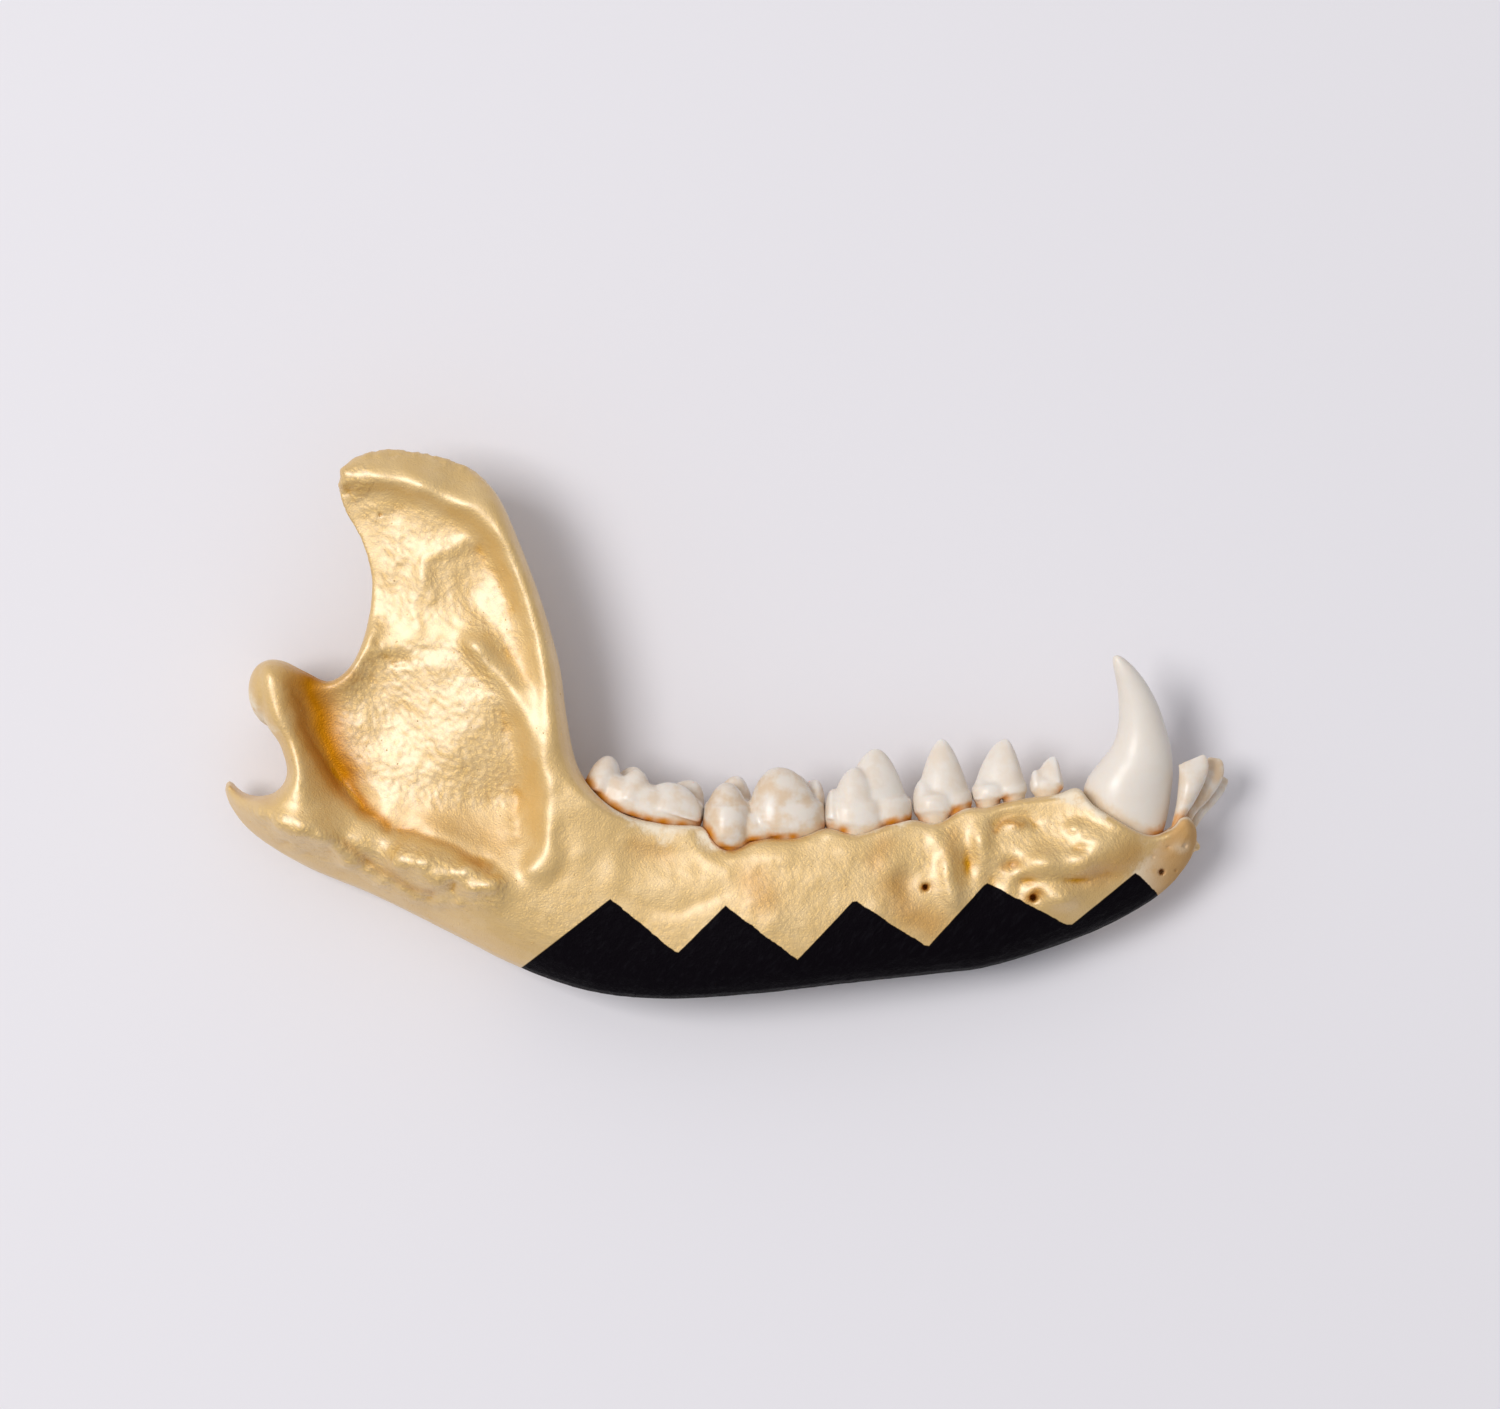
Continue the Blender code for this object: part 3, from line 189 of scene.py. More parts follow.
# Ridges and grooves of the outer face: path, rise (below zero for a groove) and the half
# widths to the left and to the right of the path as it is walked.
OUTER_LINES = {
    "coronoid_crest": ([(-31.3, 20.2), (-29.5, 20.7), (-27.4, 20.5), (-25.2, 19.8),
                        (-23.3, 18.9), (-21.2, 18.0), (-19.7, 16.6), (-18.5, 15.0),
                        (-17.5, 13.4), (-16.8, 12.0), (-16.0, 9.8), (-15.3, 7.4),
                        (-14.9, 5.0), (-14.7, 2.4), (-14.5, -1.0)],
                       0.6, 1.6, 1.2),
    "under_crest": ([(-31.0, 19.2), (-27.4, 19.2), (-24.0, 18.1), (-21.9, 17.0),
                     (-20.3, 15.5), (-19.1, 13.6), (-18.2, 11.6), (-17.6, 9.6)],
                    -0.35, 0.6, 1.2),
    "front_crest": ([(-20.4, 6.6), (-19.4, 5.2), (-18.0, 3.5), (-16.9, 1.6), (-16.0, -0.9),
                     (-15.2, -3.8), (-14.8, -6.3), (-14.7, -9.0), (-14.9, -10.8),
                     (-15.7, -12.0)],
                    0.85, 1.2, 1.1),
    "crest_foot": ([(-18.2, 1.0), (-17.5, -2.5), (-17.2, -6.0), (-17.1, -9.0)], -0.25, 0.8, 0.8),
    "notch_lip": ([(-33.2, 3.0), (-32.2, 3.8), (-31.0, 5.2), (-30.2, 6.4), (-29.4, 7.2)],
                  0.4, 1.0, 0.8),
    "neck_crest": ([(-38.6, 5.2), (-37.9, 4.0), (-37.2, 2.6), (-36.8, 1.0), (-36.1, -0.8),
                    (-35.6, -2.6), (-35.4, -4.6), (-35.2, -6.4), (-34.5, -8.3)],
                   0.6, 1.8, 1.9),
    "fossa_crease": ([(-35.4, 2.0), (-34.4, -0.8), (-33.2, -3.3), (-31.6, -5.7),
                      (-29.6, -7.7), (-28.0, -8.6), (-25.0, -9.4), (-21.9, -10.7),
                      (-20.2, -11.6), (-18.8, -12.4)], -0.3, 0.7, 0.4),
    "valley_head": ([(-35.6, 2.8), (-34.8, 0.0), (-33.7, -2.5), (-32.2, -4.9), (-30.4, -6.9)],
                    -0.7, 1.5, 0.45),
    "notch_groove": ([(-29.2, 6.9), (-27.9, 5.6), (-26.6, 5.2)], -0.25, 0.4, 0.3),
    "middle_fold": ([(-27.6, 6.6), (-25.4, 7.2), (-22.8, 7.0), (-20.6, 6.4)], 0.1, 1.1, 0.9),
    "fossa_arc": ([(-21.6, 15.2), (-22.6, 14.7), (-23.8, 14.2), (-24.7, 13.6),
                   (-25.1, 12.7), (-25.0, 11.4), (-24.6, 10.6)], 0.2, 0.7, 0.55),
    "arc_branch": ([(-25.0, 12.0), (-25.8, 9.8), (-25.6, 8.0)], 0.14, 0.5, 0.9),
    "front_hollow": ([(-21.2, 10.6), (-19.6, 8.4), (-18.6, 6.0), (-17.4, 3.8)], -0.2, 1.2, 1.0),
    "fossa_wrinkle": ([(-26.9, 16.5), (-27.2, 14.9), (-26.9, 14.0), (-27.5, 13.2),
                       (-27.6, 11.8)], 0.13, 0.3, 0.8),
    "scar_ridge": ([(-40.4, -6.7), (-38.8, -7.2), (-36.6, -8.3), (-34.6, -9.0),
                    (-32.6, -9.8), (-31.3, -10.8)], 1.25, 1.4, 0.9),
    "scar_gutter": ([(-31.8, -9.6), (-30.2, -11.2), (-28.3, -12.2), (-26.2, -13.5),
                     (-24.4, -14.1)], -0.45, 0.5, 0.45),
    "masseter_bulge": ([(-26.6, -11.1), (-24.2, -12.1), (-21.4, -12.6), (-19.2, -13.2)],
                       0.6, 1.2, 1.4),
    "oblique_line": ([(-8.5, -9.4), (-3.6, -10.0), (-1.6, -11.2), (0.2, -12.3)],
                     0.08, 0.32, 0.4),
    "oblique_second": ([(-5.0, -11.6), (-2.6, -12.4), (-0.6, -13.0)], 0.05, 0.3, 0.3),
    "body_crease": ([(-8.7, -14.0), (-6.8, -15.3), (-4.2, -15.6), (-2.0, -14.9),
                     (-0.2, -14.2)], -0.09, 0.6, 0.3),
    "molar_gutter": ([(-2.2, -9.0), (-1.2, -10.0), (0.2, -10.5), (1.6, -10.1), (3.0, -9.6),
                      (5.0, -9.6), (7.6, -9.2)], -0.25, 0.6, 0.5),
    "canine_lip": ([(29.9, -6.3), (31.3, -7.7), (33.2, -8.7), (35.0, -8.7), (36.4, -8.2)],
                   0.2, 0.5, 0.4),
    "premolar_arc": ([(22.2, -8.3), (23.4, -7.7), (24.6, -7.7), (25.6, -8.3)], -0.3, 0.5, 0.5),
    "canine_root": ([(32.6, -9.2), (29.5, -11.6), (26.6, -13.4)], 0.4, 2.4, 2.4),
    "tip_notch": ([(-32.6, 19.4), (-31.2, 19.3)], -0.5, 0.3, 0.3),
}
# Low swellings and dips: x, y, half length, half height, rise.
SWELLINGS = [
    (-38.6, -7.3, 1.1, 0.7, 0.3), (-36.8, -8.1, 0.8, 0.8, 0.4), (-35.4, -8.7, 1.0, 0.8, 0.35),
    (-33.4, -9.3, 0.9, 0.7, 0.35), (-31.9, -10.3, 0.7, 0.6, 0.3),
    (-31.3, -11.3, 1.0, 0.6, 0.5), (-29.6, -12.1, 0.8, 0.6, 0.4), (-28.4, -12.9, 0.9, 0.6, 0.5),
    (-26.8, -13.5, 0.7, 0.6, 0.4), (-25.6, -14.1, 0.9, 0.6, 0.45), (-23.9, -14.7, 0.9, 0.5, 0.35),
    (-22.1, -14.8, 0.5, 0.3, 0.25), (-27.1, -11.4, 0.8, 0.8, 0.4),
    (-25.2, -11.4, 0.9, 0.7, 0.35), (-24.0, -12.9, 1.3, 0.8, 0.5), (-21.4, -12.1, 1.1, 0.7, 0.5),
    (-20.9, -13.5, 0.9, 0.5, 0.35), (-19.3, -13.2, 0.8, 0.6, 0.4), (-19.7, -11.9, 0.5, 0.4, 0.2),
    (-36.9, -10.0, 0.8, 0.4, -0.2), (-34.9, -10.9, 1.0, 0.4, -0.2), (-22.6, -13.4, 0.4, 0.5, -0.25),
    (-5.0, -13.4, 3.0, 1.3, 0.18), (-9.2, -12.2, 1.0, 1.4, 0.2), (-12.0, -10.8, 1.2, 1.6, 0.2),
    (18.4, -12.0, 0.9, 2.0, 0.75), (19.0, -14.2, 0.9, 1.2, 0.5), (17.4, -9.6, 0.8, 0.9, 0.3),
    (26.6, -11.5, 1.7, 1.1, 0.9), (29.6, -11.4, 1.3, 1.1, 0.65), (31.0, -9.9, 2.0, 1.3, 0.7),
    (27.9, -14.3, 1.5, 1.0, 0.75), (21.2, -9.6, 0.9, 1.5, 0.6), (24.3, -8.3, 0.9, 0.5, 0.25),
    (33.2, -11.0, 1.6, 1.2, 0.3), (29.0, -8.6, 0.8, 0.6, 0.4), (8.0, -12.4, 2.4, 1.2, 0.15),
    (23.7, -11.6, 0.9, 0.7, -0.45), (25.2, -13.0, 0.9, 0.5, -0.5), (22.2, -13.0, 1.0, 1.2, -0.5),
    (29.2, -13.0, 1.3, 0.5, -0.35), (25.9, -14.2, 0.6, 0.6, -0.3), (15.0, -13.2, 1.1, 1.4, -0.4),
    (20.2, -11.6, 0.8, 1.6, -0.45), (29.4, -10.3, 0.8, 0.4, -0.35), (24.4, -13.6, 0.7, 1.0, -0.3),
    (31.6, -12.6, 1.4, 0.8, -0.3), (12.6, -15.4, 1.2, 1.2, 0.2), (4.0, -16.4, 1.2, 1.0, 0.15),
    (0.4, -9.9, 1.9, 0.8, -0.3), (-6.0, -11.2, 1.9, 0.8, -0.12), (-22.3, 11.8, 1.6, 2.4, 0.1),
    (14.0, -11.6, 1.4, 0.8, 0.2), (-31.6, 21.0, 0.5, 0.5, 0.3), (-31.8, 19.9, 0.4, 0.3, 0.2),
    (4.6, -11.0, 1.6, 0.8, 0.2), (10.5, -10.6, 1.8, 0.8, 0.2), (-28.6, 6.2, 0.6, 0.5, 0.3),
    (-24.0, 5.0, 1.4, 1.0, 0.12), (-27.4, 1.4, 1.2, 1.6, -0.12), (-20.6, 4.2, 1.0, 1.2, -0.12),
]
# Openings and pits of the outer face: x, y, radius, depth.
PITS = [
    (16.6, -13.5, 0.22, 1.9), (25.6, -14.4, 0.26, 1.8), (36.4, -12.3, 0.22, 1.4),
    (38.3, -10.1, 0.16, 0.4), (36.9, -10.2, 0.12, 0.25), (37.6, -12.2, 0.12, 0.25),
    (35.6, -11.0, 0.10, 0.2), (-28.6, 17.4, 0.15, 0.2),
]
# Where the inner face has its own relief: the nerve's way in, and lines like the above.
NERVE_OPENING = {"middle": (-24.0, -4.5), "reach": (1.7, 0.9)}
NERVE_DEPTH = 1.3
INNER_LINES = {
    "mylohyoid": ([(-16.0, -12.5), (-6.0, -12.6), (4.0, -12.2), (13.0, -13.0)],
                  0.28, 0.9, 0.9),
    "nerve_groove": ([(-23.5, -5.0), (-20.0, -8.0), (-17.0, -11.0)], -0.3, 0.6, 0.6),
    "ramus_bar": ([(-33.0, -3.0), (-28.0, 1.0), (-22.0, 5.0), (-17.5, 8.0)], 0.3, 1.6, 1.6),
    "pterygoid_line": ([(-36.0, -7.0), (-31.0, -9.0), (-26.0, -11.5)], 0.3, 0.8, 0.8),
}

# The jaw's joint surface, a barrel that lies across the bone.
CONDYLE = {"outer": (-38.0, 3.2, 12.3), "inner": (-37.9, 1.9, -0.1),
           "half_length": 1.8, "half_height": 2.6, "squareness": 0.62}

# A hardened drop of paint on the chin: x, y, z, radius.
PAINT_DROP = (39.4, -10.25, 5.3, 0.36)

# The cheek teeth, rear to front, in their own frames: along the row, across it towards
# the outer side, and up. Each has its neck's place and its turn in degrees about Z.
# A column of the crown is its middle along and across, its half length and half width,
# its roundness and its lowest and top levels. A cusp is its tip, the four borders of its
# foot (rear, front, inner, outer), the level of the foot and its fullness. A root is its
# middle along and across, its half length and half width and its end.
CHEEK_TEETH = {
    "m2": {"neck": (-6.7, -7.1, 8.2), "turn": -17.0,
           "columns": [(-0.15, 0.0, 5.0, 2.55, 2.4, -0.8, 2.2)],
           "cusps": [((-4.1, 0.2, 3.45), (-5.5, -2.5, -1.9, 2.2), 0.3, 1.0),
                     ((-1.45, 1.3, 3.1), (-2.9, 0.2, -0.4, 2.65), 0.3, 0.9),
                     ((1.9, 1.4, 2.9), (-0.6, 4.7, -0.4, 2.65), 0.3, 1.0),
                     ((3.2, -1.2, 3.5), (1.0, 4.75, -2.5, 0.6), 0.5, 1.0),
                     ((-1.8, -1.5, 3.2), (-3.4, 0.0, -2.5, 0.0), 0.5, 0.9)],
           "roots": [(-2.7, 0.0, 1.7, 1.9, -3.0), (2.4, 0.0, 2.0, 1.9, -3.0)]},
    "m1": {"neck": (3.27, -9.3, 8.0), "turn": -1.0,
           "columns": [(-3.1, 0.3, 2.1, 3.05, 2.3, -0.95, 3.0),
                       (1.75, 0.05, 3.3, 2.85, 2.5, 0.0, 3.2),
                       (-1.0, 0.0, 2.3, 2.55, 2.3, -0.4, 2.0)],
           "cusps": [((-3.2, 1.1, 4.45), (-5.1, -1.3, -0.9, 3.2), 0.6, 1.0),
                     ((1.05, 0.9, 5.8), (-1.5, 4.5, -1.0, 2.9), 1.2, 0.95),
                     ((4.2, -0.9, 4.8), (2.4, 5.05, -2.3, 0.8), 2.0, 1.0),
                     ((2.4, -1.4, 5.25), (0.2, 4.4, -2.6, 0.4), 1.9, 0.85),
                     ((-2.4, -1.2, 5.0), (-4.5, -0.9, -2.6, 0.6), 1.4, 0.9)],
           "roots": [(-3.0, 0.1, 1.8, 2.4, -3.2), (2.2, 0.0, 2.5, 2.2, -3.2)]},
    "p4": {"neck": (11.9, -8.9, 7.9), "turn": -2.0,
           "columns": [(-1.05, 0.15, 2.7, 2.3, 2.3, -0.1, 2.9),
                       (1.5, 0.0, 2.1, 1.95, 2.2, 0.65, 3.1)],
           "cusps": [((0.4, -0.05, 6.95), (-2.5, 3.4, -2.0, 1.95), 1.8, 0.6),
                     ((-1.3, 0.8, 5.3), (-3.2, 0.9, -1.0, 2.4), 1.4, 0.85),
                     ((-3.1, 0.25, 3.45), (-3.75, -1.2, -1.7, 2.2), 0.9, 0.95)],
           "roots": [(-1.2, 0.2, 1.95, 2.05, -3.0), (2.0, -0.1, 1.2, 1.6, -3.0)]},
    "p3": {"neck": (18.05, -7.8, 7.4), "turn": 4.0,
           "columns": [(-0.55, 0.2, 1.85, 1.8, 2.2, 0.25, 2.2),
                       (1.0, 0.0, 1.65, 1.6, 2.2, 0.75, 2.3)],
           "cusps": [((0.45, 0.0, 6.65), (-2.0, 2.5, -1.6, 1.62), 1.7, 0.54),
                     ((-1.35, 0.25, 3.4), (-2.4, 0.6, -1.3, 1.75), 0.8, 1.0)],
           "roots": [(-0.6, 0.2, 1.45, 1.6, -2.6), (1.5, 0.0, 1.05, 1.25, -2.6)]},
    "p2": {"neck": (22.97, -6.7, 7.0), "turn": 6.0,
           "columns": [(-0.75, 0.1, 1.6, 1.5, 2.2, 0.5, 1.9),
                       (0.9, 0.05, 1.45, 1.45, 2.2, 0.65, 1.9)],
           "cusps": [((1.0, 0.0, 5.5), (-2.2, 2.25, -1.4, 1.45), 1.2, 0.62),
                     ((-1.4, 0.15, 2.5), (-2.3, 0.6, -1.1, 1.5), 0.6, 1.0)],
           "roots": [(-1.05, 0.1, 1.1, 1.3, -2.3), (1.15, 0.05, 0.95, 1.15, -2.3)]},
    "p1": {"neck": (26.65, -6.0, 6.8), "turn": 6.0,
           "columns": [(0.25, 0.0, 1.45, 1.0, 2.1, 0.3, 1.6)],
           "cusps": [((1.15, 0.0, 3.3), (-0.7, 1.65, -0.95, 1.02), 1.0, 0.75),
                     ((-0.6, 0.1, 2.3), (-1.1, 0.5, -0.8, 0.95), 0.8, 1.0)],
           "roots": [(0.2, 0.05, 1.1, 0.88, -1.9)]},
}
# Rings of a front tooth from the tip of its root: x, y, z, half depth along X and half
# breadth along Z.
CANINE = [
    (33.2, -12.4, 6.0, 1.5, 1.3), (33.4, -9.6, 6.0, 2.9, 2.2), (33.5, -7.4, 6.0, 3.5, 2.6),
    (33.6, -5.5, 6.1, 3.65, 2.75), (34.2, -3.8, 6.4, 3.2, 2.6), (34.7, -2.1, 6.7, 2.55, 2.2),
    (34.75, -0.5, 7.1, 2.05, 1.85), (34.5, 1.2, 7.6, 1.7, 1.55), (34.0, 2.9, 8.2, 1.32, 1.2),
    (33.35, 4.3, 8.75, 0.95, 0.88), (32.85, 5.15, 9.05, 0.62, 0.6),
    (32.58, 5.58, 9.2, 0.36, 0.36), (32.48, 5.74, 9.25, 0.14, 0.14),
]
CANINE_LEAN = ((0.0, 0.65), 0.35)   # the rings' common lean, and the share of their own line
INCISORS = {
    "i3": [(37.45, -9.8, 7.1, 0.4, 0.4), (37.65, -8.4, 7.2, 0.42, 0.5),
           (38.0, -7.3, 7.3, 0.52, 0.72), (38.38, -6.3, 7.35, 0.75, 0.88),
           (38.72, -5.2, 7.4, 0.98, 0.9), (38.95, -4.3, 7.4, 1.15, 0.75),
           (39.05, -3.6, 7.4, 1.24, 0.5), (39.0, -3.1, 7.4, 1.2, 0.3),
           (38.92, -2.88, 7.4, 0.9, 0.14)],
    "i2": [(38.0, -10.0, 5.7, 0.42, 0.4), (38.3, -8.5, 5.65, 0.42, 0.5),
           (39.0, -7.1, 5.6, 0.5, 0.62), (39.75, -6.0, 5.6, 0.72, 0.68),
           (40.35, -4.95, 5.6, 0.9, 0.66), (40.7, -4.1, 5.6, 0.97, 0.55),
           (40.85, -3.4, 5.6, 0.85, 0.38), (40.9, -2.95, 5.6, 0.6, 0.2),
           (40.92, -2.8, 5.6, 0.4, 0.12)],
    "i1": [(38.3, -10.1, 4.45, 0.38, 0.33), (38.9, -8.7, 4.35, 0.45, 0.4),
           (39.6, -7.4, 4.25, 0.58, 0.48), (40.5, -6.25, 4.2, 0.68, 0.52),
           (41.25, -5.3, 4.2, 0.66, 0.48), (41.7, -4.7, 4.2, 0.5, 0.32),
           (41.86, -4.45, 4.2, 0.3, 0.16)],
}
# How much cream and brown the enamel of each tooth has taken up.
CREAM = {"crown_m2": 0.65, "crown_m1": 0.9, "crown_p4": 0.4, "crown_p3": 0.4, "crown_p2": 0.35,
         "crown_p1": 0.4, "crown_canine": 0.1, "crown_i3": 0.6, "crown_i2": 1.0,
         "crown_i1": 0.9}

# The node that each tooth's piece takes the place of.
TOOTH_NODES = {"crown_canine": "canine",
               **{"crown_" + name: "tooth_" + name for name in (*CHEEK_TEETH, *INCISORS)}}

# Where the gold paint has pooled and gone brown, also painted shade in creases and pits: path,
# reach and strength.
POOLS_AND_SHADE = [
    ([(-34.6, 3.4), (-34.0, 1.4), (-33.4, -0.6), (-32.7, -2.4), (-31.8, -4.2)], 1.9, 1.0),
    ([(-31.9, -3.8), (-30.9, -5.6), (-29.6, -7.2), (-28.0, -8.4)], 0.6, 0.9),
    ([(-28.0, -8.4), (-25.0, -9.3), (-21.9, -10.6), (-19.6, -12.0)], 0.4, 0.5),
    ([(-33.8, 3.2), (-32.6, 3.4), (-31.2, 4.2)], 0.7, 0.4),
    ([(-31.6, -9.9), (-30.0, -11.3), (-28.2, -12.3), (-26.4, -13.4), (-24.4, -14.0)], 0.35, 0.35),
    ([(23.2, -11.8), (24.1, -11.4)], 0.45, 0.5), ([(25.3, -14.5), (25.9, -14.0)], 0.5, 0.8),
    ([(22.4, -8.9), (23.2, -8.2), (24.6, -8.5)], 0.3, 0.6),
    ([(16.4, -13.5), (16.8, -13.4)], 0.5, 0.6),
    ([(-26.0, -7.6), (-22.0, -8.6), (-19.0, -9.8)], 1.6, 0.25),
    ([(-7.4, -9.9), (-5.0, -10.6)], 0.9, 0.3), ([(2.4, -13.0), (3.2, -14.4)], 1.5, 0.4),
    ([(13.2, -10.0), (12.6, -11.6)], 1.0, 0.35), ([(19.0, -9.2), (18.8, -10.4)], 0.8, 0.3),
    ([(14.0, -13.4), (15.0, -15.4), (17.2, -16.6)], 1.4, 0.45),
    ([(30.6, -12.6), (32.4, -11.9), (34.0, -10.6)], 1.2, 0.4),
]
# Deposits in the gaps between teeth and bone: x, y, reach.
DEPOSITS = [
    (-11.5, -4.8, 1.3), (-10.4, -6.0, 1.2), (-9.2, -7.0, 1.1), (-7.7, -7.7, 0.9),
    (-6.4, -8.0, 0.7), (-5.2, -8.1, 0.9), (-3.6, -8.4, 0.6), (-2.0, -7.6, 1.0),
    (-1.4, -9.1, 1.1), (0.2, -10.1, 1.3), (2.2, -9.6, 1.1), (4.2, -9.3, 0.9),
    (5.6, -9.3, 0.5), (8.3, -7.6, 1.0), (9.8, -8.8, 0.5), (13.8, -8.1, 1.0),
    (15.4, -7.8, 1.0), (19.2, -7.2, 0.8), (20.5, -6.6, 0.6), (23.1, -5.9, 0.7),
    (28.1, -5.2, 0.5), (37.3, -6.6, 1.3), (36.9, -7.9, 1.1), (36.0, -8.8, 0.8),
    (38.1, -8.1, 0.5), (39.6, -5.8, 0.8), (40.2, -4.4, 0.6),
]

# The border of the black paint, left to right: x, y.
ZIGZAG = [
    (-17.3, -20.5), (-9.5, -14.4), (-4.0, -19.0), (0.0, -15.0), (6.0, -19.5), (10.7, -14.5),
    (16.8, -18.5), (21.7, -13.1), (28.7, -16.8), (34.2, -12.3), (36.2, -14.2),
]
# How wide the unpainted bone is beside the teeth, by x.
BARE_MARGIN = [
    (-13.0, 0.1), (-11.5, 0.9), (-9.0, 1.5), (-5.0, 1.6), (-2.0, 1.1), (-0.6, 0.5),
    (0.5, 0.2), (4.0, 0.2), (7.5, 0.3), (8.6, 0.7), (10.0, 0.4), (13.0, 0.5), (14.6, 1.0),
    (16.4, 0.8), (18.0, 0.3), (20.0, 1.0), (22.0, 0.6), (24.5, 0.7), (26.0, 0.9),
    (28.5, 1.2), (30.2, 0.9), (33.0, 1.0), (34.5, 1.1), (37.0, 1.0),
]
# Outlines of the places that the paint leaves bare.
BARE_CHIN = [(37.6, -7.9), (36.7, -9.3), (35.8, -10.1), (34.8, -11.2), (33.9, -12.4),
             (35.4, -14.4), (36.0, -18.0), (46.0, -18.0), (46.0, -5.0), (38.0, -5.0)]
BARE_RIM = [(26.6, -5.9), (28.2, -6.5), (30.0, -7.1), (31.4, -8.0), (32.0, -7.4), (30.6, -4.4),
            (26.8, -4.4)]
BARE_JOINT = [(-41.0, 5.8), (-39.6, 4.9), (-39.6, 3.5), (-39.2, 2.2), (-38.6, 1.2),
              (-37.9, 0.2), (-37.2, -0.5), (-38.5, -1.6), (-41.0, -1.0)]
BARE_SYMPHYSIS = {"middle": (30.5, -12.4), "reach": (9.0, 4.6)}
# Outlines of the rough places, the roughness inside each and the width of its border.
ROUGH_PLACES = [
    ([(-30.8, 5.2), (-28.0, 6.8), (-24.0, 7.4), (-20.4, 6.6), (-18.6, 3.0), (-17.8, -0.6),
      (-17.4, -4.4), (-17.9, -6.8), (-23.0, -7.2), (-28.0, -6.7), (-31.4, -3.6),
      (-32.4, 0.4), (-31.8, 3.0)], 1.0, 1.6),
    ([(-29.4, 7.6), (-28.6, 13.0), (-29.8, 16.6), (-30.8, 18.8), (-27.0, 18.4),
      (-22.4, 16.8), (-19.6, 14.0), (-18.0, 10.6), (-16.6, 7.0), (-17.0, 4.6), (-20.0, 7.4),
      (-24.0, 8.4)], 0.7, 0.9),
    ([(-40.4, -6.6), (-36.0, -7.6), (-32.6, -9.0), (-29.0, -9.4), (-25.0, -10.2), (-21.6, -11.4),
      (-18.0, -12.8), (-18.6, -15.4), (-25.0, -15.4), (-31.0, -12.9), (-38.0, -9.4)], 0.95, 0.8),
    ([(15.5, -9.0), (20.0, -8.0), (24.0, -7.6), (30.0, -7.0), (34.0, -9.0), (33.4, -11.5),
      (29.0, -15.5), (24.0, -14.6), (19.0, -15.6), (15.4, -12.0)], 0.55, 1.0),
    ([(-17.0, -14.0), (-13.0, -13.0), (-10.0, -15.0), (-4.0, -16.5), (1.0, -15.0), (2.0, -11.0),
      (10.0, -10.4), (16.0, -10.0), (16.0, -19.0), (-4.0, -19.5), (-17.0, -20.0)], 0.45, 1.2),
    ([(-32.2, 20.8), (-30.0, 21.6), (-29.0, 20.2), (-30.0, 18.4), (-31.6, 18.4)], 1.0, 0.5),
]

RIM_FULLNESS = 2.7      # 2 rounds the rim like a circle, and more than 2 like a blunter border
RIM_ROWS = (0.08, 0.22, 0.42, 0.65, 0.88)   # rows of points by the rim, in shares of its radius
WARP = 0.28             # how far the relief's lines stray from their paths
WARP_SIZE = 1.7         # over which lengths they stray
PIT_FLOOR = 3.0         # pits sink only what lies higher than this
JOINT_TOP = 13.0        # the paint covers the joint surface above this height

# Crinkles of the paint where it is rough: share, size and their place in the noise.
CRINKLES = [(1.0, 0.8, 0.0), (0.5, 0.45, 9.0)]
CRINKLE_RISE = 0.070
# Unevenness of the bone's skin: height, size, octaves and its place in the noise.
UNEVEN = {"paint": (0.035, 0.42, 2, 7.3), "outer": (0.06, 2.4, 2, 3.1),
          "inner": (0.05, 1.8, 3, 5.0), "symphysis": (0.22, 0.9, 3, 11.0),
          "coronoid": (0.12, 0.6, 2, 2.0)}
CORONOID_EDGE = [(-30.5, 22.4), (-25.0, 22.6), (-21.3, 21.3), (-19.8, 20.2)]

# Levels of a crown's column from its underside: share of its height, length and width.
COLUMN_LEVELS = [(0.0, 0.84, 0.78), (0.10, 0.93, 0.90), (0.25, 1.0, 1.0), (0.6, 1.0, 1.0),
                 (0.85, 0.95, 0.93), (0.97, 0.82, 0.78), (1.0, 0.6, 0.5)]
# Levels of a root from inside the crown to its tip: share of its height and its width.
ROOT_LEVELS = [(0, 1.0), (0.3, 0.97), (0.6, 0.8), (0.9, 0.5), (1.0, 0.25)]
ROOT_OVERLAP = 0.9      # how far a root reaches up into its crown
CUSP_RINGS = 22

NOISE_SEED = 5          # without one, the noise that moves places is another on each run
GRAIN_SEED = 5
GRAIN_SIDE = 0.2        # grains lie where the skin's normal rises by more than this
GRAIN_SCALES = ((0.6, 0.6, 0.3), (1.5, 1.3, 0.8))   # least and most of a grain's three sizes

# The map of the black paint's border: how far it reaches, and how its edge wavers and fades.
BORDER_X = (-45.0, 45.0)
BORDER_Y = (-30.0, 0.0)
BORDER_WAVER = (0.003, 0.006)
BORDER_FADE = 0.002

# The lamp's place and width in metres, and its colour.
LAMP_PLACE = (-0.42, 0.10, 0.84)
LAMP_SIZE = 0.34
LAMP_COLOUR = (1.0, 0.985, 0.965)
# The surroundings' colour, their brightness at the level of the table, and how much is
# added overhead, towards the right and towards the tooth side.
ROOM_COLOUR = (0.97, 0.97, 1.0, 1.0)
ROOM_LEVEL = 0.53
ROOM_SLOPES = {"Z": 0.50, "X": -0.15, "Y": 0.15}


def colour(name, default, description):
    """A colour that a user can change."""
    return FloatVectorProperty(name=name, description=description, default=(*default, 1.0),
                               subtype="COLOR", size=4, min=0, max=1)


def millimetres(name, default, least, description):
    """A length in millimetres that a user can change."""
    return FloatProperty(name=name, description=description + ", in millimetres",
                         default=default, min=least)


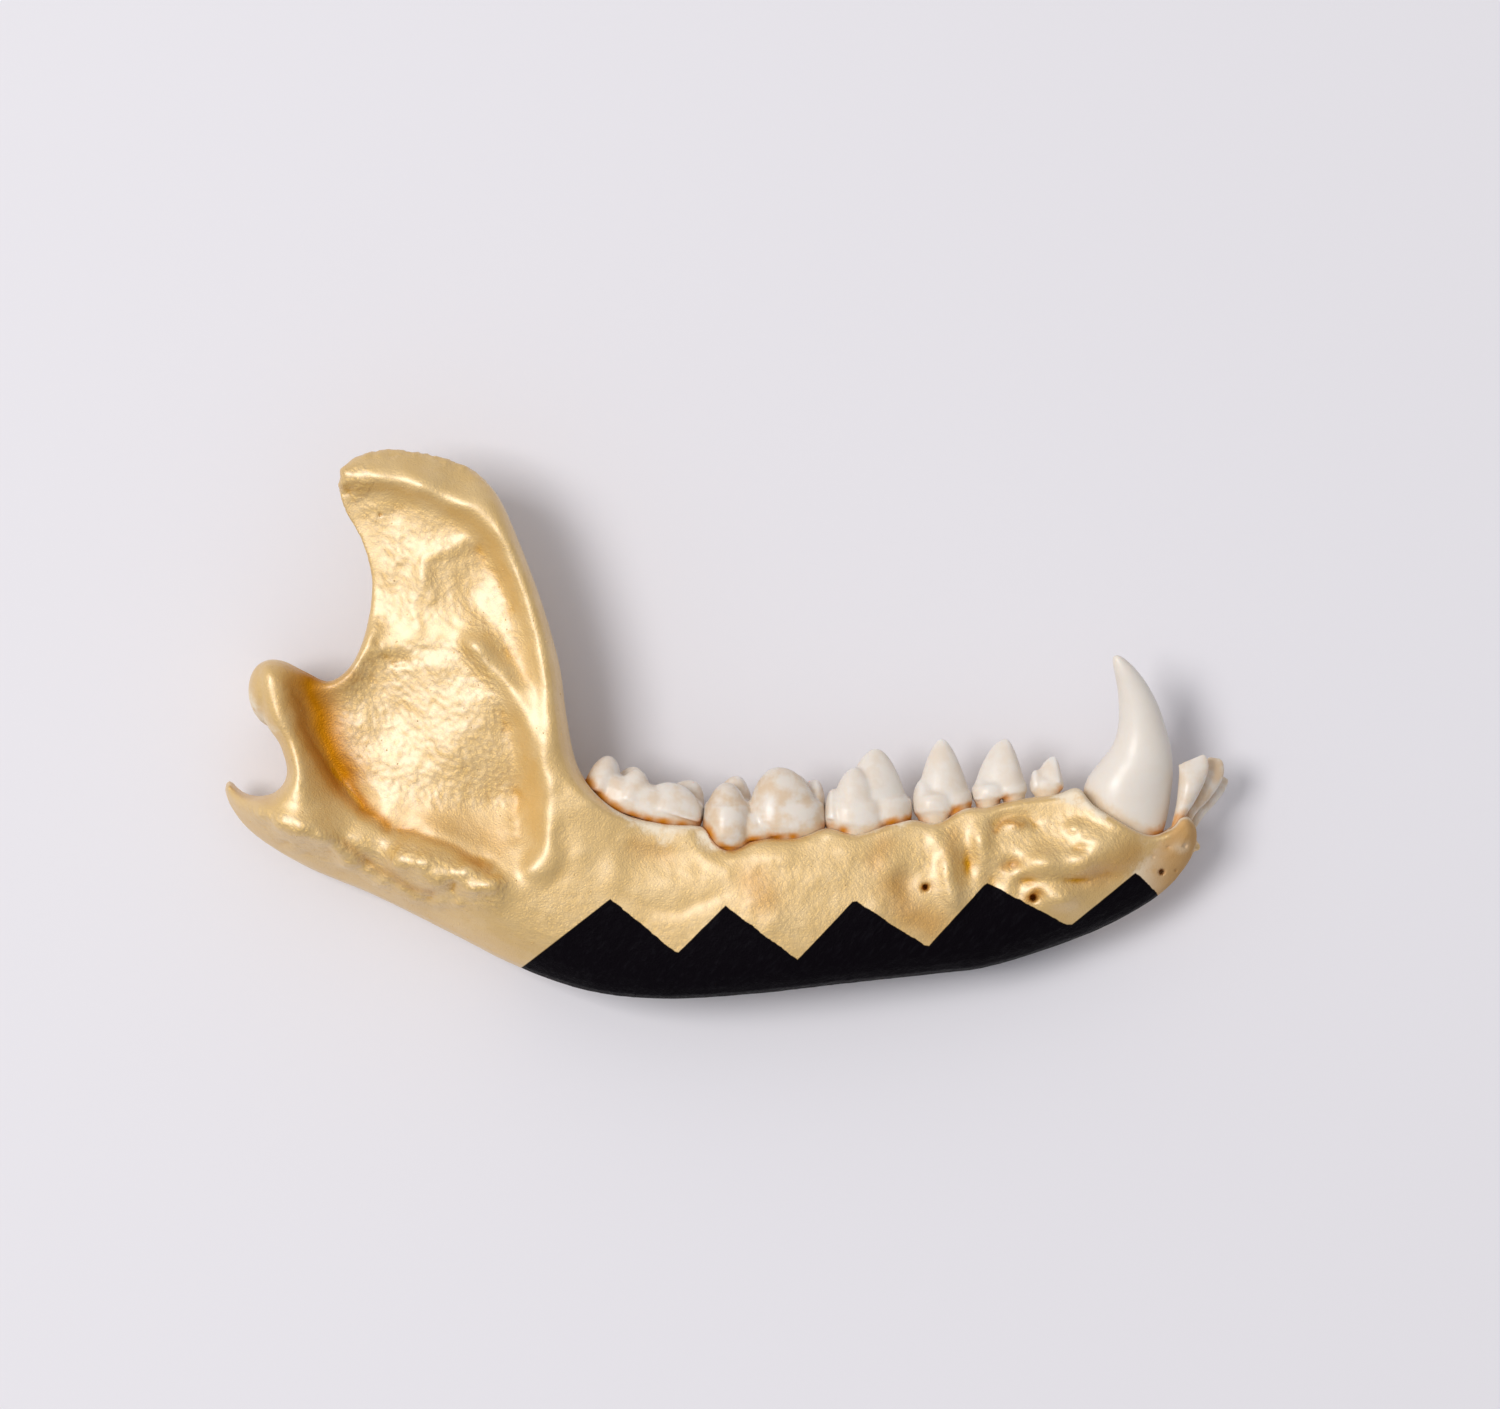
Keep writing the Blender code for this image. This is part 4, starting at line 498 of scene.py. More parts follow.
class BoneSizes(PropertyGroup):
    rim_step: millimetres("Rim step", 0.45, 0.2, "Spacing of the points round the bone's edge")
    grid_step: millimetres("Grid step", 0.42, 0.2, "Spacing of the points on the bone's faces")
    voxel: millimetres("Cell", 0.17, 0.1, "Cell of the remesh that fuses the bone's pieces")
    triangles: IntProperty(
        name="Triangles", default=184000, min=10000,
        description="Most triangles that the bone keeps, more of them on its outer side")
    relief: FloatProperty(
        name="Relief", default=1.0, min=0.0,
        description="Strength of the finer relief, where 1 is as the real bone has it")
    grain_radius: millimetres("Grain radius", 0.07, 0.02, "Radius of the paint's dried grains")
    grain_density: FloatProperty(
        name="Grain density", default=0.16, min=0.0,
        description="Grains for each square millimetre of the bone's skin")


class ToothSizes(PropertyGroup):
    voxel: millimetres("Cell", 0.085, 0.05, "Cell of the remesh that fuses a tooth's parts")
    gap: millimetres("Socket gap", 0.05, 0.0, "Clear space between a tooth and its socket")
    ease: IntProperty(
        name="Easing", default=36, min=0,
        description="How often a tooth's skin is eased after its parts are fused")
    sides: IntProperty(
        name="Sides", default=64, min=12, description="Points round a cusp or a front tooth")
    rings: IntProperty(
        name="Rings", default=40, min=8, description="Rings along a front tooth")


class PaintLook(PropertyGroup):
    gold: colour("Gold", (0.75, 0.475, 0.13), "Gold paint where it lies evenly")
    thin_gold: colour("Thin gold", (0.84, 0.60, 0.27), "Paler patches of the gold paint")
    # Painted shade: the gold in hollows and valleys is darkened to stand for their shade.
    hollow_shade_gold: colour("Deep gold", (0.56, 0.265, 0.014), "Gold paint in hollows")
    # Painted shade in part: besides pooled paint, this brown darkens creases and pits.
    pooled_and_shaded_gold: colour("Pooled gold", (0.50, 0.19, 0.003), "Gold paint that has pooled")
    black: colour("Black", (0.0030, 0.0020, 0.0034), "Black paint")
    worn_black: colour("Worn black", (0.006, 0.005, 0.007), "Brush strokes in the black paint")
    bone: colour("Bare bone", (0.88, 0.76, 0.58), "Unpainted bone")
    dark_bone: colour("Dark bone", (0.78, 0.56, 0.33), "Darker clouds in the unpainted bone")
    chin: colour("Chin", (0.56, 0.31, 0.10), "Unpainted bone of the chin")
    stain: colour("Stain", (0.50, 0.16, 0.015), "Deposits round the teeth")


class ToothLook(PropertyGroup):
    enamel: colour("Enamel", (0.78, 0.725, 0.66), "Clean enamel")
    cream: colour("Cream", (0.68, 0.51, 0.34), "Enamel that has taken up cream")
    neck: colour("Neck", (0.70, 0.54, 0.36), "A tooth near its root")
    # Painted shade: the enamel is darkened in its crevices.
    crevice_shade: colour("Crevice", (0.62, 0.42, 0.22), "Enamel in the crevices")
    # Painted highlight: the enamel is lightened on its ridges.
    ridge_highlight: colour("Ridge", (0.84, 0.80, 0.76), "Enamel on the ridges")
    stain: colour("Stain", (0.62, 0.24, 0.012), "Stains on the enamel")


class StageLook(PropertyGroup):
    floor: colour("Floor", (0.775, 0.76, 0.80), "The floor")
    floor_size: FloatProperty(
        name="Floor size", default=2.4, unit="LENGTH", description="Width of the floor")
    key_strength: FloatProperty(
        name="Key light", default=5.3, min=0.0, unit="POWER",
        description="Power of the large soft light at the left")
    sky_strength: FloatProperty(
        name="Surroundings", default=0.6, min=0.0,
        description="Brightness of the pale room round the table")


def smooth_step(t):
    """0 below 0, 1 above 1, and an even S between."""
    t = np.clip(t, 0, 1)
    return t * t * (3 - 2 * t)


def closed_curve(points, step):
    """Points about a step apart on the closed Catmull-Rom curve through the given ones."""
    points = np.array(points, float)
    before = np.roll(points, 1, axis=0)
    after = np.roll(points, -1, axis=0)
    beyond = np.roll(points, -2, axis=0)
    curve = []
    for a, b, c, d in zip(before, points, after, beyond):
        count = max(1, round(float(np.linalg.norm(c[:2] - b[:2])) / step))
        for t in np.arange(count) / count:
            curve.append(between(a, b, c, d, t))
    return np.array(curve)


def between(a, b, c, d, t):
    """The point at share t from b to c on the Catmull-Rom curve through four points."""
    return 0.5 * (2 * b + (c - a) * t + (2 * a - 5 * b + 4 * c - d) * t * t
                  + (3 * b - a - 3 * c + d) * t ** 3)


def open_curve(points, count):
    """Evenly shared points on the open Catmull-Rom curve through the given ones."""
    points = np.array(points, float)
    padded = np.vstack([2 * points[0] - points[1], points, 2 * points[-1] - points[-2]])
    curve = []
    for share in np.linspace(0, len(points) - 1, count):
        i = min(int(share), len(points) - 2)
        curve.append(between(*padded[i:i + 4], share - i))
    return np.array(curve)


def segments_away(places, path, closed=False):
    """Each straight stretch of a path, and the way from it to each place."""
    path = np.array(path, float)
    ends = np.roll(path, -1, axis=0) if closed else path[1:]
    starts = path if closed else path[:-1]
    for a, b in zip(starts, ends):
        along = b - a
        t = np.clip((places - a) @ along / (along @ along), 0, 1)
        yield along, places - a - t[:, None] * along


def path_distance(places, path, closed=False):
    """How far each place lies from a path of straight lines."""
    nearest = np.full(len(places), np.inf)
    for _, away in segments_away(places, path, closed):
        nearest = np.minimum(nearest, np.linalg.norm(away, axis=1))
    return nearest


def oval_distance(places, middle, reach):
    """How far each place lies from an oval's middle, where 1 is its border."""
    (x, y), (reach_x, reach_y) = middle, reach
    return np.hypot((places[:, 0] - x) / reach_x, (places[:, 1] - y) / reach_y)


def inside(places, outline):
    """Whether each place lies within a closed outline."""
    outline = np.array(outline, float)
    x, y = places[:, 0], places[:, 1]
    within = np.zeros(len(places), bool)
    for a, b in zip(outline, np.roll(outline, -1, axis=0)):
        crosses = (a[1] > y) != (b[1] > y)
        rise = b[1] - a[1] if b[1] != a[1] else 1.0
        within ^= crosses & (x < (b[0] - a[0]) * (y - a[1]) / rise + a[0])
    return within


def depth_inside(places, outline):
    """Distance from an outline: above zero inside it and below zero outside."""
    distance = path_distance(places, outline, closed=True)
    return np.where(inside(places, outline), distance, -distance)


def sheet_through(spots):
    """The smoothest sheet through spot heights, a thin plate, as a function of places."""
    spots = np.array(spots, float)

    def kernel(a, b):
        r2 = ((a[:, None, :] - b[None, :, :]) ** 2).sum(axis=2)
        return r2 * np.log(r2 + 1e-9)

    count = len(spots)
    flat = np.column_stack([np.ones(count), spots[:, :2]])
    system = np.zeros((count + 3, count + 3))
    system[:count, :count] = kernel(spots[:, :2], spots[:, :2])
    system[:count, count:] = flat
    system[count:, :count] = flat.T
    weights = np.linalg.solve(system, np.append(spots[:, 2], [0, 0, 0]))

    def height(places):
        return (kernel(places, spots[:, :2]) @ weights[:count]
                + weights[count] + places @ weights[count + 1:])

    return height


def side_of_path(places, path):
    """Distance from an open path, and the side, from 1 on its left to -1 on its right."""
    nearest = np.full(len(places), np.inf)
    side = np.zeros(len(places))
    for along, away in segments_away(places, path):
        distance = np.linalg.norm(away, axis=1)
        closer = distance < nearest
        nearest[closer] = distance[closer]
        turn = along[0] * away[:, 1] - along[1] * away[:, 0]
        side[closer] = (turn / (np.linalg.norm(along) * distance + 1e-9))[closer]
    return nearest, side


def lines_rise(places, lines):
    """Rise of a set of ridges and grooves over each place."""
    rise = np.zeros(len(places))
    for path, height, left, right in lines.values():
        path = open_curve(path, 6 * len(path))
        distance, side = side_of_path(places, path)
        width = (left + right) / 2 + side * (left - right) / 2
        rise += height * np.exp(-(distance / width) ** 2)
    return rise


def outer_face(places):
    """Height of the outer face: the sheet with its ridges and grooves."""
    return sheet_through(OUTER_SPOTS)(places) + lines_rise(strayed(places), OUTER_LINES)


def inner_face(places):
    """Height of the inner face, with the flat symphysis towards the front."""
    height = sheet_through(INNER_SPOTS)(places)
    turn = math.radians(SYMPHYSIS["tilt"])
    offset = places - np.array(SYMPHYSIS["centre"])
    along = offset[:, 0] * math.cos(turn) + offset[:, 1] * math.sin(turn)
    across = offset[:, 1] * math.cos(turn) - offset[:, 0] * math.sin(turn)
    reach_along, reach_across = SYMPHYSIS["reach"]
    share = smooth_step(3.2 * (1.15 - np.hypot(along / reach_along, across / reach_across)))
    plane = (places[:, 0] - SYMPHYSIS["hinge_x"]) * SYMPHYSIS["slope"]
    return height * (1 - share) + plane * share


def edge_values(places, rim):
    """Distance from the rim, and the rim's height and radius there, for each place."""
    distance = path_distance(places, rim[:, :2], closed=True)
    spread = ((places[:, None, :] - rim[None, :, :2]) ** 2).sum(axis=2)
    weight = 1 / (spread ** 2 + 1e-4)
    weight /= weight.sum(axis=1, keepdims=True)
    return distance, weight @ rim[:, 2], weight @ rim[:, 3]


def strayed(places):
    """Places moved a little to and fro, so that the relief's lines aren't too even."""
    shifts = [noise.noise_vector(Vector((x / WARP_SIZE, y / WARP_SIZE, 0.0)))
              for x, y in places.tolist()]
    return places + WARP * np.array(shifts)[:, :2]


def bone_sheets(sizes):
    """The bone as two faces that meet at its rim."""
    rim = closed_curve(EDGE, sizes.rim_step)
    forward = np.roll(rim, -1, axis=0)[:, :2] - np.roll(rim, 1, axis=0)[:, :2]
    inward = np.column_stack([-forward[:, 1], forward[:, 0]])
    inward /= np.linalg.norm(inward, axis=1, keepdims=True)
    rows = []
    for share in RIM_ROWS:
        offset = share * rim[:, 3]
        row = rim[:, :2] + inward * offset[:, None]
        clear = path_distance(row, rim[:, :2], closed=True) > 0.9 * offset
        rows.append(row[clear])
    step = sizes.grid_step
    low, high = rim[:, :2].min(axis=0), rim[:, :2].max(axis=0)
    columns = np.arange(low[0], high[0], step)
    lines = np.arange(low[1], high[1], step * math.sqrt(0.75))
    grid = np.array([(x + step / 2 * (row % 2), y)
                     for row, y in enumerate(lines) for x in columns])
    distance, _, radius = edge_values(grid, rim)
    grid = grid[inside(grid, rim[:, :2]) & (distance > 0.88 * radius + 0.5 * step)]
    flat = np.vstack([rim[:, :2]] + rows + [grid])
    count = len(rim)
    result = delaunay_2d_cdt([Vector(p) for p in flat], [], [list(range(count))], 1, 1e-5)
    places = np.array([tuple(p) for p in result[0]])
    faces = [tuple(face) for face in result[2]]
    on_rim = np.array([any(index < count for index in group) for group in result[3]])
    distance, rim_height, radius = edge_values(places, rim)
    rounding = (1 - (1 - np.clip(distance / radius, 0, 1)) ** RIM_FULLNESS) ** (1 / RIM_FULLNESS)
    outer = rim_height + (outer_face(places) - rim_height) * rounding
    inner = rim_height + (inner_face(places) - rim_height) * rounding
    return places, faces, on_rim, rim_height, outer, inner


def bone_body(sizes):
    """The body and ramus of the bone as one closed mesh object."""
    places, faces, on_rim, rim_height, outer, inner = bone_sheets(sizes)
    shape = bmesh.new()
    top, bottom = [], []
    for (x, y), edge, level, high, low in zip(places, on_rim, rim_height, outer, inner):
        upper = shape.verts.new((x, y, level if edge else high))
        top.append(upper)
        bottom.append(upper if edge else shape.verts.new((x, y, low)))
    for face in faces:
        shape.faces.new([top[i] for i in face])
        shape.faces.new([bottom[i] for i in reversed(face)])
    bmesh.ops.recalc_face_normals(shape, faces=shape.faces)
    return as_object("body", shape)


def condyle_barrel():
    """The barrel of the joint surface, blunt at both ends."""
    outer = Vector(CONDYLE["outer"])
    inner = Vector(CONDYLE["inner"])
    axis = outer - inner
    shape = bmesh.new()
    bmesh.ops.create_uvsphere(shape, u_segments=64, v_segments=48, radius=1.0)
    for vertex in shape.verts:
        x, y, z = vertex.co
        along = math.copysign(abs(z) ** CONDYLE["squareness"], z) if abs(z) > 1e-6 else 0.0
        middle = inner + axis * (0.5 + 0.5 * along)
        vertex.co = middle + Vector((x * CONDYLE["half_length"], y * CONDYLE["half_height"], 0))
    return as_object("condyle", shape)


def as_object(name, shape):
    """A scene object that holds a bmesh."""
    mesh = bpy.data.meshes.new(name)
    shape.to_mesh(mesh)
    shape.free()
    thing = bpy.data.objects.new(name, mesh)
    bpy.context.scene.collection.objects.link(thing)
    return thing


def own_copy(thing):
    """A copy of an object with a mesh of its own."""
    copy = thing.copy()
    copy.data = thing.data.copy()
    bpy.context.scene.collection.objects.link(copy)
    return copy


def remove(thing):
    bpy.data.objects.remove(thing, do_unlink=True)


def evaluated(thing):
    """Apply the object's modifiers, so that it holds a plain mesh."""
    bpy.context.view_layer.update()
    graph = bpy.context.evaluated_depsgraph_get()
    result = bpy.data.meshes.new_from_object(thing.evaluated_get(graph))
    thing.modifiers.clear()
    thing.data = result
    return thing


def joined(name, things):
    """One object that holds the meshes of several, which are removed."""
    shape = bmesh.new()
    for thing in things:
        shape.from_mesh(thing.data)
        remove(thing)
    return as_object(name, shape)


def fused(thing, cell, relax):
    """Fuse the closed meshes of an object into one skin, and ease it."""
    remesh = thing.modifiers.new("fuse", "REMESH")
    remesh.mode = "VOXEL"
    remesh.voxel_size = cell
    ease = thing.modifiers.new("ease", "SMOOTH")
    ease.factor = 0.5
    ease.iterations = relax
    return evaluated(thing)


def thin_out(thing, triangles):
    """Keep at most so many triangles, and most of those on the outer side."""
    mesh = thing.data
    mesh.calc_loop_triangles()
    inner = thing.vertex_groups.new(name="inner")
    outward = normals_of(mesh)[:, 2]
    for low, high, weight in ((-1.1, -0.5, 1.0), (-0.5, 0.0, 0.6), (0.0, 1.1, 0.2)):
        chosen = np.nonzero((outward >= low) & (outward < high))[0]
        inner.add(chosen.tolist(), weight, "REPLACE")
    thinner = thing.modifiers.new("thin", "DECIMATE")
    thinner.ratio = min(1.0, triangles / len(mesh.loop_triangles))
    thinner.vertex_group = "inner"
    evaluated(thing)
    thing.vertex_groups.clear()


def points_of(mesh):
    """The mesh's points as an array."""
    points = np.empty(len(mesh.vertices) * 3)
    mesh.vertices.foreach_get("co", points)
    return points.reshape(-1, 3)


def normals_of(mesh):
    """The mesh's point normals as an array."""
    normals = np.empty(len(mesh.vertices) * 3)
    mesh.vertex_normals.foreach_get("vector", normals)
    return normals.reshape(-1, 3)


def set_points(mesh, points):
    """Move the mesh's points."""
    mesh.vertices.foreach_set("co", np.asarray(points, float).ravel())
    mesh.update()


def set_values(mesh, marks):
    """Keep named numbers at each point, for the materials."""
    for name, values in marks.items():
        layer = mesh.attributes.new(name, "FLOAT", "POINT")
        layer.data.foreach_set("value", np.asarray(values, float))


def uneven(points, kind, share=1.0):
    """Uneven rise of one kind at each point, even about zero."""
    height, size, octaves, start = UNEVEN[kind]
    shift = Vector((start, -start, 2 * start))
    waves = [noise.fractal(Vector(p) / size + shift, 1.0, 2.0, octaves)
             for p in points.tolist()]
    return share * height * np.array(waves)


def ridged(points, size, offset):
    """Crinkles aslant over the bone: sharp crests every so many millimetres, even about zero."""
    shift = Vector((offset, 2 * offset, -offset))
    folds = []
    for x, y, z in points.tolist():
        here = Vector((0.8 * x + 0.6 * y, 0.55 * (0.8 * y - 0.6 * x), z)) / size
        here += 0.45 * noise.noise_vector(0.8 * here - shift)
        folds.append(0.35 - abs(noise.noise(here + shift)))
    return np.array(folds) - 0.12


def to_frame(points):
    """Places in millimetres turned into metres in the frame."""
    return (np.asarray(points, float) + SHIFT) * MM


def front_leans(levels, canine):
    """The direction that each ring of a front tooth faces."""
    places = np.array(levels)[:, :2]
    leans = []
    for i in range(len(levels)):
        line = places[min(i + 1, len(levels) - 1)] - places[max(i - 1, 0)]
        line = line / np.linalg.norm(line)
        if canine:
            common, share = CANINE_LEAN
            line = line * share + np.array(common)
        leans.append(line / np.linalg.norm(line))
    return leans


def circle(sides):
    """Cosines and sines of so many even steps round a circle."""
    angles = 2 * math.pi * np.arange(sides) / sides
    return np.cos(angles), np.sin(angles)


def front_ring(level, lean, sides):
    """One ring of a front tooth, square to its line."""
    x, y, z, half_depth, half_breadth = level
    c, s = circle(sides)
    out = half_depth * c
    return np.column_stack([x + out * lean[1], y - out * lean[0], z + half_breadth * s])


def lofted(name, rings):
    """A closed mesh object through rings of equally many points, capped by fans."""
    shape = bmesh.new()
    rows = [[shape.verts.new(point) for point in ring] for ring in rings]
    for lower, upper in zip(rows, rows[1:]):
        for i in range(len(lower)):
            j = (i + 1) % len(lower)
            shape.faces.new((lower[i], lower[j], upper[j], upper[i]))
    for row, turned in ((rows[0], True), (rows[-1], False)):
        middle = shape.verts.new(sum((vertex.co for vertex in row), Vector()) / len(row))
        for i in range(len(row)):
            j = (i + 1) % len(row)
            face = (row[i], row[j], middle)
            shape.faces.new(face[::-1] if turned else face)
    bmesh.ops.recalc_face_normals(shape, faces=shape.faces)
    return as_object(name, shape)


def tooth_points(tooth, along, across, up):
    """Places in the jaw for places in the tooth's own frame."""
    turn = math.radians(tooth["turn"])
    x, y, z = tooth["neck"]
    return np.column_stack([x + along * math.cos(turn) - up * math.sin(turn),
                            y + along * math.sin(turn) + up * math.cos(turn),
                            z + across])


def tooth_column(tooth, column, sides):
    """One of the low columns that the cusps stand on."""
    middle, aside, half_length, half_width, roundness, low, top = column
    c, s = circle(sides)
    along = np.sign(c) * np.abs(c) ** (2 / roundness) * half_length
    across = np.sign(s) * np.abs(s) ** (2 / roundness) * half_width
    rings = [tooth_points(tooth, middle + along * a, aside + across * b,
                          low + (top - low) * level)
             for level, a, b in COLUMN_LEVELS]
    return lofted("tooth_column", rings)


def tooth_cusp(tooth, cusp, sides):
    """One cusp on an oval foot: a cone at fullness 0 and a dome at fullness 1."""
    tip, (rear, front, inner, outer), foot, fullness = cusp
    c, s = circle(sides)
    rings = []
    for i in range(1, CUSP_RINGS + 1):
        t = (i / CUSP_RINGS) ** 2
        spread = (1 - fullness) * t + fullness * math.sqrt(1 - (1 - t) ** 2)
        along = tip[0] + spread * np.where(c > 0, c * (front - tip[0]), -c * (rear - tip[0]))
        across = tip[1] + spread * np.where(s > 0, s * (outer - tip[1]), -s * (inner - tip[1]))
        rings.append(tooth_points(tooth, along, across, tip[2] + (foot - tip[2]) * t))
    return lofted("tooth_cusp", rings)


def tooth_root(tooth, root, sides):
    """One root, from inside the crown to its tip in the bone."""
    along, across, half_length, half_width, end = root
    top = tooth["columns"][0][5] + ROOT_OVERLAP
    c, s = circle(sides)
    rings = [tooth_points(tooth, along + size * half_length * c, across + size * half_width * s,
                          top + (end - top) * share)
             for share, size in ROOT_LEVELS]
    return lofted("tooth_root", rings)


def cheek_tooth(name, tooth, sizes):
    """One cheek tooth: its columns, cusps and roots fused."""
    parts = [tooth_column(tooth, column, sizes.sides) for column in tooth["columns"]]
    parts += [tooth_cusp(tooth, cusp, sizes.sides) for cusp in tooth["cusps"]]
    parts += [tooth_root(tooth, root, sizes.sides // 2) for root in tooth["roots"]]
    return fused(joined("crown_" + name, parts), sizes.voxel, sizes.ease)


def front_tooth(name, levels, sizes, canine=False):
    """The canine or an incisor, as one smooth loft."""
    fine = open_curve(levels, sizes.rings)
    rings = [front_ring(level, lean, sizes.sides)
             for level, lean in zip(fine, front_leans(fine, canine))]
    return lofted(name, rings)


def grown_copy(tooth, gap, cell):
    """The room that a tooth takes with a gap round it, as a cutter."""
    cutter = own_copy(tooth)
    set_points(cutter.data, points_of(cutter.data) + gap * normals_of(cutter.data))
    return fused(cutter, cell, 1)


class NodeTree:
    """A tree of nodes, made and linked by name."""

    def __init__(self, tree):
        self.tree = tree

    def node(self, kind, inputs, **settings):
        made = self.tree.nodes.new(kind)
        for name, value in settings.items():
            setattr(made, name, value)
        for name, value in inputs.items():
            self.join(made, name, value)
        return made

    def join(self, node, name, value):
        if isinstance(value, bpy.types.NodeSocket):
            self.tree.links.new(value, node.inputs[name])
        else:
            node.inputs[name].default_value = value


def run_tree(thing, tree, values):
    """Run a Geometry Nodes tree on an object with named inputs, and keep the mesh."""
    modifier = thing.modifiers.new(tree.name, "NODES")
    modifier.node_group = tree
    for item in tree.interface.items_tree:
        if item.name in values:
            modifier[item.identifier] = values[item.name]
    return evaluated(thing)


def grain_tree():
    """Small grains dried into the paint, strewn over a mesh."""
    group = bpy.data.node_groups.new("paint_grains", "GeometryNodeTree")
    for way, label, kind in (("INPUT", "Geometry", "Geometry"), ("OUTPUT", "Geometry", "Geometry"),
                             ("INPUT", "Density", "Float"), ("INPUT", "Radius", "Float"),
                             ("INPUT", "Seed", "Int"), ("INPUT", "Material", "Material")):
        group.interface.new_socket(label, in_out=way, socket_type="NodeSocket" + kind)
    tree = NodeTree(group)
    start = tree.node("NodeGroupInput", {}).outputs
    normal = tree.node("GeometryNodeInputNormal", {}).outputs["Normal"]
    upward = tree.node("ShaderNodeSeparateXYZ", {"Vector": normal}).outputs["Z"]
    outer = tree.node("FunctionNodeCompare", {0: upward, 1: GRAIN_SIDE},
                      operation="GREATER_THAN")
    strewn = tree.node("GeometryNodeDistributePointsOnFaces",
                       {"Mesh": start["Geometry"], "Density": start["Density"],
                        "Selection": outer.outputs[0], "Seed": start["Seed"]}).outputs
    grain = tree.node("GeometryNodeMeshIcoSphere",
                      {"Radius": start["Radius"], "Subdivisions": 1})
    least, most = GRAIN_SCALES
    scale = tree.node("FunctionNodeRandomValue",
                      {"Min": least, "Max": most, "Seed": start["Seed"]},
                      data_type="FLOAT_VECTOR")
    grains = tree.node("GeometryNodeInstanceOnPoints",
                       {"Points": strewn["Points"], "Instance": grain.outputs["Mesh"],
                        "Rotation": strewn["Rotation"], "Scale": scale.outputs["Value"]})
    solid = tree.node("GeometryNodeRealizeInstances", {"Geometry": grains.outputs["Instances"]})
    dressed = tree.node("GeometryNodeSetMaterial",
                        {"Geometry": solid.outputs["Geometry"], "Material": start["Material"]})
    tree.node("NodeGroupOutput", {"Geometry": dressed.outputs["Geometry"]})
    return group


def paint_grains(bone, sizes, material):
    """The grains on the bone's outer side, as one mesh."""
    return run_tree(own_copy(bone), grain_tree(), {
        "Density": sizes.grain_density, "Radius": sizes.grain_radius, "Seed": GRAIN_SEED,
        "Material": material})


def paint_drop():
    """The drop of paint on the chin."""
    x, y, z, radius = PAINT_DROP
    shape = bmesh.new()
    bmesh.ops.create_icosphere(shape, subdivisions=3, radius=radius)
    bmesh.ops.translate(shape, verts=shape.verts, vec=(x, y, z))
    return as_object("paint_drop", shape)


def fine_relief(points, normals, sizes):
    """How far each point of the bone's skin stands out from the broad shape."""
    flat = points[:, :2]
    up = normals[:, 2]
    rise = np.zeros(len(flat))
    for x, y, half_length, half_height, height in SWELLINGS:
        away = oval_distance(flat, (x, y), (half_length, half_height))
        rise += height * np.exp(-away ** 2)
    crinkles = sum(share * ridged(points, size, start) for share, size, start in CRINKLES)
    rise += rough_share(flat) * (CRINKLE_RISE * crinkles + uneven(points, "paint"))
    rise += uneven(points, "outer")
    rise *= smooth_step((up + 0.15) / 0.45)
    inner = lines_rise(flat, INNER_LINES)
    inner -= NERVE_DEPTH * smooth_step(1.6 - 1.3 * oval_distance(flat, **NERVE_OPENING))
    symphysis = smooth_step(3 * (1 - oval_distance(flat, **BARE_SYMPHYSIS)))
    inner += uneven(points, "symphysis", symphysis)
    inner += uneven(points, "inner")
    rise += inner * smooth_step((-up - 0.1) / 0.5)
    top_edge = np.exp(-(path_distance(flat, CORONOID_EDGE) / 0.5) ** 2)
    rise += uneven(points, "coronoid", top_edge)
    return rise * sizes.relief


def rough_share(flat):
    """How rough the outer face is at each place."""
    share = np.full(len(flat), 0.2)
    for outline, strength, soft in ROUGH_PLACES:
        share = np.maximum(share, strength * smooth_step(depth_inside(flat, outline) / soft + 0.5))
    return share


def sink_pits(points):
    """Sink the nerve openings and pits straight down into the outer face."""
    for x, y, radius, depth in PITS:
        away = np.hypot(points[:, 0] - x, points[:, 1] - y) / radius
        outer = points[:, 2] > PIT_FLOOR
        points[:, 2] -= outer * depth * smooth_step(1.5 - away)


def level_feet(points):
    """Press the lowest places level, where the bone rests."""
    points[:, 2] = np.maximum(points[:, 2], -SHIFT[2])


def hollowness(mesh, passes):
    """How hollow the skin is at each point, below zero on ridges."""
    points, normals = points_of(mesh), normals_of(mesh)
    ends = np.empty(len(mesh.edges) * 2, int)
    mesh.edges.foreach_get("vertices", ends)
    ends = ends.reshape(-1, 2)
    count = np.bincount(ends.ravel(), minlength=len(points))[:, None]

    def averaged(values):
        total = np.zeros_like(values)
        np.add.at(total, ends[:, 0], values[ends[:, 1]])
        np.add.at(total, ends[:, 1], values[ends[:, 0]])
        return total / np.maximum(count, 1)

    smooth = points.copy()
    for _ in range(passes):
        smooth = averaged(smooth)
    return ((smooth - points) * normals).sum(axis=1)


def nearest_distance(points, things):
    """Distance from each point to the nearest surface of some objects."""
    trees = []
    for thing in things:
        mesh = thing.data
        trees.append(BVHTree.FromPolygons([tuple(v.co) for v in mesh.vertices],
                                          [tuple(f.vertices) for f in mesh.polygons]))
    reach = 3.0
    result = np.full(len(points), reach)
    for tree in trees:
        for i, point in enumerate(points.tolist()):
            found = tree.find_nearest(point, reach)
            if found[3] is not None:
                result[i] = min(result[i], found[3])
    return result


def pooled_and_shaded_share(points):
    """How brown the gold paint is at each point, where it has pooled and where creases and pits get
    painted shade.
    """
    places = strayed(points[:, :2])
    share = np.zeros(len(points))
    for path, reach, strength in POOLS_AND_SHADE:
        away = path_distance(places, open_curve(path, 4 * len(path))) / reach
        share = np.maximum(share, strength * np.exp(-away ** 2))
    return share


def share_of_spots(points, spots):
    """How much of a mark each point has, 1 in the middle of a spot."""
    share = np.zeros(len(points))
    for x, y, reach in spots:
        away = np.hypot(points[:, 0] - x, points[:, 1] - y) / reach
        share = np.maximum(share, np.exp(-away ** 2))
    return share


